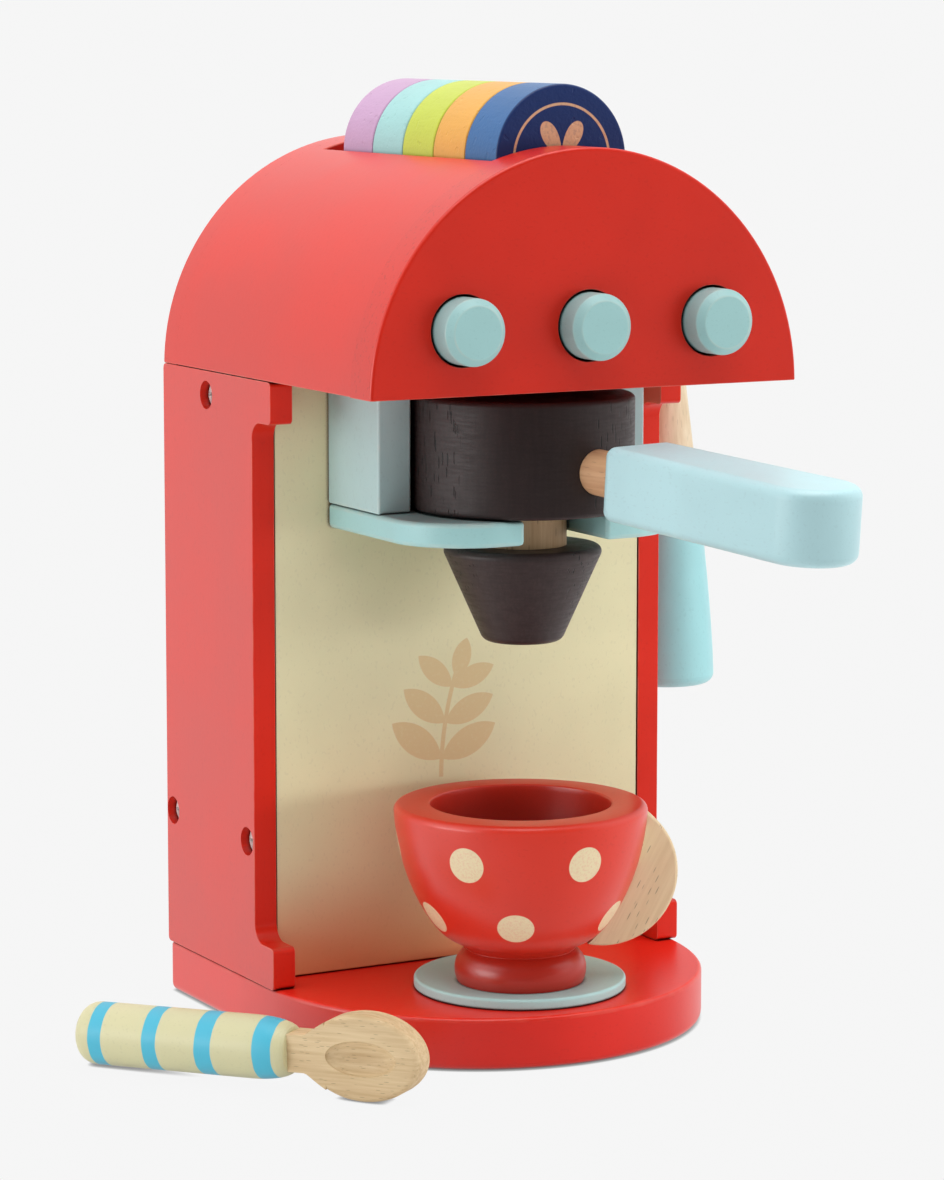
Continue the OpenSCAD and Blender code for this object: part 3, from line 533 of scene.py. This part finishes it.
CREAM = srgb(237, 231, 187)
# The colour of the painted red bounce light at the foot of the panel
PAINTED_RED_BOUNCE = srgb(226, 118, 30)
PRINT_TAN = srgb(227, 203, 152)
SPRIG_FOOT = (-0.0065, 0.0690)
SPRIG_CURVE = 5.2
SPRIG_HEIGHT = 0.031
STALK_HALF = 0.0006
LEAF_PAIRS = 3
LEAF_FIRST = 0.0055
LEAF_STEP = 0.0105
LEAF_SIZE = (0.0200, 0.0085)
LEAF_SHRINK = 0.13
LEAF_LEANS = (-0.95, 1.10)
LEAN_STEP = 0.05
TIP_SIZE = (0.012, 0.0060)
TIP_LEAN = 0.30


def leaf_mask(tree, x, z, at, lean, length, width):
    """Pointed leaf as the overlap of two circles, its foot at a point of the panel."""
    half = length / 2
    radius = (half * half + width * width / 4) / width
    centre = (at[0] + half * math.sin(lean), at[1] + half * math.cos(lean))
    covers = None
    for side in (-1, 1):
        shift = side * (radius - width / 2)
        cx = centre[0] + shift * math.cos(lean)
        cz = centre[1] - shift * math.sin(lean)
        dx = maths(tree, "POWER", maths(tree, "SUBTRACT", x, cx), 2.0)
        dz = maths(tree, "POWER", maths(tree, "SUBTRACT", z, cz), 2.0)
        away = maths(tree, "SQRT", maths(tree, "ADD", dx, dz))
        inside = spread(tree, away, radius - 0.0001, radius + 0.0001, 1.0, 0.0)
        covers = inside if covers is None else maths(tree, "MULTIPLY", covers, inside)
    return covers


def sprig_mask(tree, x, z):
    """A bowed stalk with pairs of leaves that grow smaller upward, and one leaf at its tip."""
    rise = maths(tree, "SUBTRACT", z, SPRIG_FOOT[1])
    bow = maths(tree, "MULTIPLY", maths(tree, "POWER", rise, 2.0), SPRIG_CURVE)
    off = maths(tree, "SUBTRACT", x, maths(tree, "ADD", bow, SPRIG_FOOT[0]))
    sprig = spread(tree, maths(tree, "ABSOLUTE", off), STALK_HALF, STALK_HALF + 0.0002, 1.0, 0.0)
    sprig = maths(tree, "MULTIPLY", sprig, spread(tree, rise, 0.0, 0.0002))
    ends = spread(tree, rise, SPRIG_HEIGHT - 0.001, SPRIG_HEIGHT, 1.0, 0.0)
    sprig = maths(tree, "MULTIPLY", sprig, ends)
    for pair in range(LEAF_PAIRS):
        up = LEAF_FIRST + pair * LEAF_STEP
        at = (SPRIG_FOOT[0] + SPRIG_CURVE * up * up, SPRIG_FOOT[1] + up)
        length, width = [(1.0 - LEAF_SHRINK * pair) * measure for measure in LEAF_SIZE]
        for lean in LEAF_LEANS:
            leaf = leaf_mask(tree, x, z, at, lean + LEAN_STEP * pair, length, width)
            sprig = maths(tree, "MAXIMUM", sprig, leaf)
    tip = (SPRIG_FOOT[0] + SPRIG_CURVE * SPRIG_HEIGHT ** 2, SPRIG_FOOT[1] + SPRIG_HEIGHT - 0.002)
    return maths(tree, "MAXIMUM", sprig, leaf_mask(tree, x, z, tip, TIP_LEAN, *TIP_SIZE))


def cream_panel_finish(front):
    """Cream paint with painted red light at its foot, for the light bounced up from the red base, and the
    sprig on its front face.
    """
    material, tree, shader, coords = bare_shader("cream_panel")
    tone = paint_layers(tree, shader, coords, CREAM, (1.0, 1.0, 0.08), 0.34)
    place = put(tree, "SeparateXYZ", {0: coords})
    # Painted light: the panel turns towards red near its foot, as if lit by the red base.
    low = spread(tree, place.outputs[2], 0.014, 0.052, 0.66, 0.0)
    bounce_lit = tint(tree, low, tone, PAINTED_RED_BOUNCE)
    sprig = sprig_mask(tree, place.outputs[0], place.outputs[2])
    facing = spread(tree, place.outputs[1], front + 0.0005, front + 0.0007, 1.0, 0.0)
    patchy = spread(tree, noise(tree, coords, 900.0, 3.0), 0.30, 0.5, 0.86, 1.0)
    ink = maths(tree, "MULTIPLY", maths(tree, "MULTIPLY", sprig, facing), patchy)
    tree.links.new(tint(tree, ink, bounce_lit, PRINT_TAN), shader.inputs["Base Color"])
    return material


sanded_board("front_panel", 0.0003, cream_panel_finish(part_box("front_panel")[0].y))

# ---- Rear panel and rail --------------------------------------------------------------
# A red board closes the column behind. A bare beech rail joins both side panels under the
# arch and takes the screws that hold the arch down.

BEECH_LIGHT = srgb(234, 206, 164)
BEECH_DARK = srgb(206, 170, 126)


def bare_beech(name, along, across, pores=1.0, light=BEECH_LIGHT, dark=BEECH_DARK, fine=1.0):
    """Beech: long fibres, slow bands of growth and short dark ray flecks along the grain.
    The fibres run along, and the bands are broad across."""
    material, tree, shader, coords = bare_shader(name)
    along = Vector(along).normalized()
    third = along.cross(Vector(across)).normalized()
    turn = Matrix((along, third.cross(along), third)).to_euler()
    lying = put(tree, "Mapping", {"Vector": coords, "Rotation": turn}).outputs[0]
    fibres = noise(tree, stretch(tree, lying, (0.05, 1.0, 1.0)), 900.0, 3.0, 0.6)
    bands = noise(tree, stretch(tree, lying, (0.03, 0.35, 1.0)), 260.0, 3.0, 0.5)
    cells = {"Vector": stretch(tree, lying, (0.12, 1.0, 1.0)), "Scale": 1100.0 * fine}
    flecks = spread(tree, put(tree, "TexVoronoi", cells).outputs["Distance"], 0.13, 0.20, 1.0, 0.0)
    figure = maths(tree, "ADD", maths(tree, "MULTIPLY", fibres, 0.5), maths(tree, "MULTIPLY", bands, 0.5))
    wood = tint(tree, spread(tree, figure, 0.34, 0.70), light, dark)
    wood = tint(tree, maths(tree, "MULTIPLY", flecks, 0.75 * pores), wood, shaded(dark, 0.45))
    tree.links.new(wood, shader.inputs["Base Color"])
    tree.links.new(spread(tree, fibres, 0.3, 0.7, 0.50, 0.66), shader.inputs["Roughness"])
    sunk = maths(tree, "SUBTRACT", 1.0, flecks)
    relief(tree, shader, [(fibres, 0.00004, 0.35), (sunk, 0.00006, 0.5 * pores)])
    return material


sanded_board("rear_panel", 0.0008, red_upright)
beech_cross = bare_beech("beech_cross", (1, 0, 0), (0, 1, 0))
sanded_board("top_rail", 0.0006, beech_cross)

# ---- Arch -----------------------------------------------------------------------------
# Half-round front and back plates carry a bent skin with a long slot through its crown.
# A floor board closes the arch below, and a trough under the slot holds the pods.

# The skin stops short of the side panels by this, which leaves a thin dark line
SKIN_LIFT = 0.0002


def pit_rim(material):
    """The plate's sawn rim drinks the paint, so that fine dark pits show in it."""
    tree = material.node_tree
    base = tree.nodes["Principled BSDF"].inputs["Base Color"]
    way = put(tree, "SeparateXYZ", {0: put(tree, "TexCoord").outputs["Normal"]}).outputs[1]
    rim = spread(tree, maths(tree, "ABSOLUTE", way), 0.3, 0.6, 1.0, 0.0)
    pits = noise(tree, put(tree, "TexCoord").outputs["Object"], 900.0, 1.0)
    pitted = maths(tree, "MULTIPLY", rim, spread(tree, pits, 0.60, 0.72, 0.10, 0.55))
    tree.links.new(tint(tree, pitted, base.links[0].from_socket, shaded(RED, 0.6)), base)


plate_red = satin_paint("red_paint_plate", RED, (0.08, 1.0, 1.0))
gloss_by_side(plate_red, front=0.20, side=0.55, top=0.50)
# Painted shade: the plate's front face is drawn darker than its rim.
painted_light_by_side(plate_red, front=0.88, side=1.0, top=1.0)
pit_rim(plate_red)
red_flat = satin_paint("red_paint_flat", RED, (0.08, 1.0, 1.0))
gloss_by_side(red_flat, front=0.20, side=0.55, top=0.50)
skin_low, skin_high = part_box("arch_shell")
sanded_board("arch_front", 0.00025, plate_red, keep=lambda edge: lies_at(edge, 1, skin_low.y))
skin = sanded_board(
    "arch_shell", 0.0005, red_flat,
    keep=lambda edge: lies_at(edge, 1, skin_low.y) or lies_at(edge, 1, skin_high.y))
for vert in skin.data.vertices:
    if vert.co.z < skin_low.z + SKIN_LIFT:
        vert.co.z += SKIN_LIFT
sanded_board("arch_back", 0.0005, red_flat, keep=lambda edge: lies_at(edge, 1, skin_high.y))
sanded_board("arch_floor", 0.0006, red_flat)
sanded_board("pod_trough", 0.0004, red_flat)

# ---- Coffee pods ----------------------------------------------------------------------
# Five turned discs that stand on edge in the slot, each sprayed in its own colour. The
# front one has a navy face with a tan rosette in a ring. Small nicks pit the paint.

POD_COLOURS = {
    "lilac": srgb(196, 156, 192),
    "aqua": srgb(159, 208, 206),
    "lime": srgb(194, 206, 69),
    "orange": srgb(224, 164, 72),
    "blue": srgb(43, 97, 152),
}
NAVY = srgb(29, 49, 99)
ROSETTE_TAN = srgb(205, 165, 130)
PETALS = 6
PETAL_R = 0.0118
PETAL_FROM = 0.0022
RING_R = 0.0150
RING_HALF = 0.00028
HEART_R = 0.0012


def pod_layers(tree, shader, coords, colour):
    tone = paint_layers(tree, shader, coords, colour, (1.0, 0.10, 1.0), 0.42)
    chips = spread(tree, noise(tree, coords, 420.0, 0.0), 0.74, 0.79)
    fibres = noise(tree, stretch(tree, coords, (1.0, 0.25, 1.0)), 480.0, 2.0)
    peel = noise(tree, coords, 1300.0, 1.0)
    sunk = maths(tree, "SUBTRACT", 1.0, chips)
    relief(tree, shader, [(fibres, 0.00016, 0.8), (peel, 0.00010, 0.8), (sunk, 0.00016, 0.8)])
    return tone


def pod_paint(name, colour):
    material, tree, shader, coords = bare_shader(name)
    pod_layers(tree, shader, coords, colour)
    return material


def rosette_mask(tree, x, z):
    """Six petals round a small heart, inside a ring."""
    square = maths(tree, "ADD", maths(tree, "POWER", x, 2.0), maths(tree, "POWER", z, 2.0))
    radius = maths(tree, "SQRT", square)
    around = maths(tree, "MULTIPLY", maths(tree, "ARCTAN2", z, x), PETALS / 2)
    wave = maths(tree, "ABSOLUTE", maths(tree, "COSINE", around))
    reach = maths(tree, "MULTIPLY", maths(tree, "POWER", wave, 0.7), PETAL_R)
    petals = spread(tree, maths(tree, "SUBTRACT", reach, radius), 0.0, 0.0003)
    petals = maths(tree, "MULTIPLY", petals, spread(tree, radius, PETAL_FROM, PETAL_FROM + 0.0003))
    off_ring = maths(tree, "ABSOLUTE", maths(tree, "SUBTRACT", radius, RING_R))
    ring = spread(tree, off_ring, RING_HALF, RING_HALF + 0.00017, 1.0, 0.0)
    heart = spread(tree, radius, HEART_R, HEART_R + 0.0003, 1.0, 0.0)
    return maths(tree, "MAXIMUM", maths(tree, "MAXIMUM", petals, ring), heart)


def front_pod_finish(low, high):
    """Blue rim and navy face, with the ring and the rosette printed in tan."""
    material, tree, shader, coords = bare_shader("pod_blue_rosette")
    rim = pod_layers(tree, shader, coords, POD_COLOURS["blue"])
    middle = (low + high) / 2
    place = put(tree, "SeparateXYZ", {0: coords})
    x = maths(tree, "SUBTRACT", place.outputs[0], middle.x)
    z = maths(tree, "SUBTRACT", place.outputs[2], middle.z)
    patchy = spread(tree, noise(tree, coords, 1100.0, 2.0), 0.3, 0.5, 0.8, 1.0)
    inked = maths(tree, "MULTIPLY", rosette_mask(tree, x, z), patchy)
    face = tint(tree, inked, NAVY, ROSETTE_TAN)
    in_front = spread(tree, place.outputs[1], low.y + 0.0003, low.y + 0.0006, 1.0, 0.0)
    tree.links.new(tint(tree, in_front, rim, face), shader.inputs["Base Color"])
    return material


for pod_name, pod_colour in POD_COLOURS.items():
    if pod_name == "blue":
        pod_finish = front_pod_finish(*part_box("pod_blue"))
    else:
        pod_finish = pod_paint("pod_" + pod_name, pod_colour)
    gloss_by_side(pod_finish, front=0.20, side=0.50, top=0.50)
    sanded_board("pod_" + pod_name, 0.0004, pod_finish, body=pod_name + "_pod")

# ---- Buttons --------------------------------------------------------------------------
# Three turned buttons with a bevelled face, pushed in against coil springs. Their stems run
# in a bare beech board on the arch's floor, and collars stop them behind the front plate.

teal_turned = satin_paint("teal_paint_turned", srgb(153, 195, 194), (1.0, 0.10, 1.0), roughness=0.42)
spring_wire = plated_steel("spring_wire", srgb(190, 190, 192), roughness=0.29)
for button_name in ("left", "middle", "right"):
    button_body = button_name + "_button"
    sanded_board("button_" + button_name, 0.0003, teal_turned, body=button_body)
    spring_node = "button_spring_" + button_name
    spring = show(
        spring_node + "_coil", joined_copy(spring_node), spring_wire, "machine", spring_node)
    spring_low, spring_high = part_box(spring_node)
    seat = (spring_low + spring_high) / 2
    seat.y = spring_high.y
    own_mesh(spring)
sanded_board("button_guide", 0.0005, beech_cross)

# ---- Group head -----------------------------------------------------------------------
# Two hanging blocks and a C-shaped plate in pale turquoise, pinned with beech dowels. The
# filter's neck slides into the open slot of the plate.

teal_flat = satin_paint("teal_paint_flat", srgb(163, 210, 210), (0.08, 1.0, 1.0), roughness=0.36)
teal_blocks = satin_paint("teal_paint_blocks", srgb(176, 207, 207), (1.0, 1.0, 0.08), roughness=0.40)
beech_upright = bare_beech("beech_upright", (0, 0, 1), (1, 0, 0))
sanded_board("head_block_left", 0.0008, teal_blocks)
sanded_board("head_block_right", 0.0008, teal_blocks)
sanded_board("head_plate", 0.0013, teal_flat)
dress("head_pegs", beech_upright)

# ---- Filter holder --------------------------------------------------------------------
# A turned drum and spout in a dark brown stain that leaves the pores open, on a bare dowel
# for a neck. The handle is a dowel in the drum with a flat paddle grip painted turquoise.

DRUM_STAIN = srgb(51, 38, 37)
# Painted light: the spout's stain is a lighter copy of the drum's.
SPOUT_STAIN_LIT = srgb(61, 48, 47)
CRACK_DARK = srgb(12, 8, 6)
# The way that the open-pored sides of the drum and spout face
OPEN_GRAIN = (0.87, -0.49, 0.0)
HANDLE_TURN = math.radians(-78.0)


def reach_along(tree, coords, way, start):
    """How far a point lies along a direction, from where start lies."""
    reach = put(tree, "VectorMath", {0: coords, 1: tuple(way)}, operation="DOT_PRODUCT").outputs["Value"]
    return maths(tree, "SUBTRACT", reach, Vector(start).dot(Vector(way)))


def brown_stain(name, low, high, stain):
    """Dark stain on turned wood: lathe lines round it and open cracks along the grain."""
    material, tree, shader, coords = bare_shader(name)
    radius = (high.x - low.x) / 2
    lathe = noise(tree, stretch(tree, coords, (0.12, 0.12, 1.0)), 1500.0, 2.0)
    fibres = noise(tree, stretch(tree, coords, (1.0, 1.0, 0.07)), 900.0, 2.0)
    cells = {"Vector": stretch(tree, coords, (1.0, 1.0, 0.13)), "Scale": 980.0}
    cracks = spread(tree, put(tree, "TexVoronoi", cells).outputs["Distance"], 0.17, 0.25, 1.0, 0.0)
    off = maths(tree, "ABSOLUTE", reach_along(tree, coords, OPEN_GRAIN, (low + high) / 2))
    open_side = spread(tree, off, 0.50 * radius, 0.66 * radius)
    depth = maths(tree, "MULTIPLY", cracks, open_side)
    tone = tint(tree, spread(tree, fibres, 0.3, 0.7), shaded(stain, 0.92), shaded(stain, 1.1))
    tone = tint(tree, spread(tree, lathe, 0.35, 0.70, 0.0, 0.25), tone, shaded(stain, 0.62))
    speckle = spread(tree, noise(tree, coords, 1700.0, 1.0), 0.35, 0.65, 0.0, 0.45)
    tone = tint(tree, speckle, tone, shaded(stain, 0.70))
    tone = tint(tree, depth, tone, CRACK_DARK)
    shader.inputs["Specular IOR Level"].default_value = 0.38
    # The stain gets painted shade in tight seams as well.
    tree.links.new(crease_shadow(tree, tone), shader.inputs["Base Color"])
    tree.links.new(spread(tree, lathe, 0.3, 0.7, 0.42, 0.54), shader.inputs["Roughness"])
    sunk = maths(tree, "SUBTRACT", 1.0, depth)
    relief(tree, shader, [(fibres, 0.00001, 0.3), (lathe, 0.00003, 0.35), (sunk, 0.00025, 0.8)])
    return material


dress("filter_drum", brown_stain("brown_stain_drum", *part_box("filter_drum"), DRUM_STAIN))
dress("filter_spout", brown_stain("brown_stain_spout", *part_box("filter_spout"), SPOUT_STAIN_LIT))
# Painted shade: the neck's beech is drawn darker than the other beech, for the shadow it stands in.
neck_beech_shaded = bare_beech(
    "beech_neck", (0, 0, 1), (1, 0, 0), light=srgb(196, 162, 124), dark=srgb(168, 132, 94))
dress("filter_neck", neck_beech_shaded)
handle_way = (math.cos(HANDLE_TURN), math.sin(HANDLE_TURN), 0.0)
handle_beech = bare_beech(
    "beech_handle", handle_way, (0, 0, 1), pores=0.5, light=srgb(214, 170, 128),
    dark=srgb(190, 142, 104))
dress("handle_dowel", handle_beech)
grip_teal = satin_paint("teal_paint_grip", srgb(180, 218, 223), (1.0, 0.08, 1.0), roughness=0.34)
gloss_by_side(grip_teal, front=0.40, side=0.50, top=0.80)
# Painted light and shade: the grip's front is drawn darker and its top a little lighter.
painted_light_by_side(grip_teal, front=0.90, side=1.0, top=1.04)
sanded_board("handle_grip", 0.0004, grip_teal, body="filter_holder")

# ---- Saucer and cup -------------------------------------------------------------------
# A thin turned saucer and a turned cup with a thick rim, red inside and out, with cream
# spots stencilled on in two rows. The ear is a bare beech disc coped to the bowl.

CUP_RED = srgb(219, 53, 35)
SPOT_CREAM = srgb(236, 218, 178)
SPOT_D = 0.0103
# Each row by its height, its distance from the cup's axis and the turns of its spots
SPOT_ROWS = (
    (0.0575, 0.0346, (-55.0, 2.0, 62.0, 122.0, 183.0, 243.0)),
    (0.0388, 0.0275, (-91.0, -32.0, 37.0, 97.0, 152.0, 210.0)),
)
# The waist under the bowl is turned to a soft cove, deeper and higher than in the frame
WAIST_Z = 0.0274
WAIST_LIFT = 0.0011
LIFT_SPAN = 0.0042
COVE_DEPTH = 0.0014
COVE_SPAN = 0.0020
COVE_TOP = 0.0340
OUTSIDE_R = 0.014
# How far the painted shade in the cup's hollow looks for walls
HOLLOW_REACH = 0.045
FOOT_SHADE_Z = 0.0255
FOOT_SHADE_RISE = 0.006
EAR_TURN = math.radians(-20.0)
EAR_GRAIN = math.radians(63.0)


def either(tree, masks):
    """One mask that covers wherever any of them does."""
    covers = masks[0]
    for mask in masks[1:]:
        covers = maths(tree, "MAXIMUM", covers, mask)
    return covers


def cup_finish(axis):
    """Red paint with stencilled spots, and painted shade deep in the hollow and round the foot."""
    material, tree, shader, coords = bare_shader("cup_paint")
    tone = paint_layers(tree, shader, coords, CUP_RED, (0.25, 0.25, 1.0), 0.31, seam_shadow=False)
    height = put(tree, "SeparateXYZ", {0: coords}).outputs[2]
    spots = []
    for level, radius, turns in SPOT_ROWS:
        for turn in turns:
            angle = math.radians(turn)
            centre = (axis.x + radius * math.sin(angle), axis.y - radius * math.cos(angle), level)
            away = put(tree, "VectorMath", {0: coords, 1: centre}, operation="DISTANCE").outputs["Value"]
            spots.append(spread(tree, away, SPOT_D / 2 - 0.0001, SPOT_D / 2 + 0.0001, 1.0, 0.0))
    thin = spread(tree, noise(tree, coords, 1600.0, 3.0, 0.7), 0.34, 0.55, 0.82, 1.0)
    coat = tint(tree, maths(tree, "MULTIPLY", either(tree, spots), thin), tone, SPOT_CREAM)
    # Painted shade: darker deep in the cup's hollow and on the foot under the bowl.
    hollow = spread(tree, openness(tree, HOLLOW_REACH, 8, own=True), 0.30, 0.95, 1.0, 0.0)
    inside = spread(tree, height, COVE_TOP, COVE_TOP + 0.010, 0.25, 0.78)
    depth = maths(tree, "MULTIPLY", hollow, inside)
    foot = spread(tree, height, FOOT_SHADE_Z, FOOT_SHADE_Z + FOOT_SHADE_RISE, 0.44, 0.0)
    depth = maths(tree, "MAXIMUM", depth, foot)
    tree.links.new(tint(tree, depth, coat, shaded(CUP_RED, 0.25)), shader.inputs["Base Color"])
    gloss_by_side(material, front=0.42, side=0.72, top=0.15)
    return material


dress("saucer", satin_paint("teal_paint_saucer", srgb(178, 222, 219), (0.10, 1.0, 1.0), roughness=0.46))
cup_low, cup_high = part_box("cup_body")
cup_axis = (cup_low + cup_high) / 2
cup_mesh = joined_copy("cup_body")
for edge in cup_mesh.edges:
    edge.smooth = edge.calc_face_angle(0.0) < EDGE_SHARP or edge.verts[0].co.z > cup_low.z + 0.001
for vert in cup_mesh.verts:
    out = Vector((vert.co.x - cup_axis.x, vert.co.y - cup_axis.y, 0.0))
    if out.length > OUTSIDE_R and vert.co.z < COVE_TOP:
        dip = COVE_DEPTH * math.exp(-((vert.co.z - WAIST_Z) / COVE_SPAN) ** 2)
        rise = WAIST_LIFT * math.exp(-((vert.co.z - WAIST_Z) / LIFT_SPAN) ** 2)
        vert.co += Vector((0.0, 0.0, rise)) - out.normalized() * dip
show("cup_body_coved", cup_mesh, cup_finish(cup_axis), "cup", "cup_body")
ear_out = Vector((math.cos(EAR_TURN), math.sin(EAR_TURN), 0.0))
ear_grain = ear_out * math.cos(EAR_GRAIN) + Vector((0.0, 0.0, 1.0)) * math.sin(EAR_GRAIN)
ear_face = Vector((-math.sin(EAR_TURN), math.cos(EAR_TURN), 0.0))
ear_beech = bare_beech(
    "beech_ear", ear_grain, ear_face, light=srgb(236, 211, 172), dark=srgb(224, 196, 155))
dress("cup_handle", ear_beech)

# ---- Steam wand -----------------------------------------------------------------------
# A turned club: bare beech at the top, where a dowel holds it to the side panel and lets it
# swing, and turquoise paint on the thick end. A turned washer keeps it off the panel.

wand_beech = bare_beech(
    "beech_wand", (0, 0, 1), (1, 0, 0), pores=0.35, light=srgb(232, 215, 186),
    dark=srgb(214, 192, 158))
dress("wand_stem", wand_beech)
dress("wand_grip", satin_paint("teal_paint_wand", srgb(158, 214, 218), (1.0, 1.0, 0.08), roughness=0.36))
dress("wand_spacer", beech_upright)
dress("wand_pin", beech_cross)

# ---- Spoon ----------------------------------------------------------------------------
# A turned handle in cream with four blue rings, glued on a neck and bowl that are sawn from
# one beech board. The bowl's hollow is ground into one side.

SPOON_CREAM = srgb(214, 209, 166)
SPOON_BLUE = srgb(74, 185, 213)
SPOON_HEADING = math.radians(-54.6)
SPOON_TILT = math.radians(2.16)
SPOON_BUTT = (-0.1215, 0.0031, 0.0087)
# Each ring by its distance from the butt and its width
RINGS = ((0.00810, 0.00415), (0.02545, 0.00450), (0.04235, 0.00510), (0.06035, 0.00540))
RING_WOBBLE = 0.0006


def ringed_handle(way):
    """Cream paint with blue rings, each at its place along the handle and of its own width."""
    material, tree, shader, coords = bare_shader("spoon_paint")
    tone = paint_layers(tree, shader, coords, SPOON_CREAM, (0.5, 0.5, 1.0), 0.42, seam_shadow=False)
    uneven = maths(tree, "SUBTRACT", noise(tree, coords, 160.0, 2.0), 0.5)
    wobble = maths(tree, "MULTIPLY", uneven, RING_WOBBLE)
    reach = maths(tree, "ADD", reach_along(tree, coords, way, SPOON_BUTT), wobble)
    rings = []
    for place, width in RINGS:
        off = maths(tree, "ABSOLUTE", maths(tree, "SUBTRACT", reach, place))
        rings.append(spread(tree, off, width / 2 - 0.0001, width / 2 + 0.0001, 1.0, 0.0))
    tree.links.new(tint(tree, either(tree, rings), tone, SPOON_BLUE), shader.inputs["Base Color"])
    return material


spoon_flat = Vector((math.cos(SPOON_HEADING), math.sin(SPOON_HEADING), 0.0))
spoon_way = spoon_flat * math.cos(SPOON_TILT) + Vector((0.0, 0.0, math.sin(SPOON_TILT)))
dress("spoon_handle", ringed_handle(spoon_way))
spoon_beech = bare_beech(
    "beech_spoon", spoon_way, (0, 0, 1), pores=0.75, light=srgb(224, 199, 157),
    dark=srgb(196, 165, 121), fine=1.6)
dress("spoon_bowl", spoon_beech)
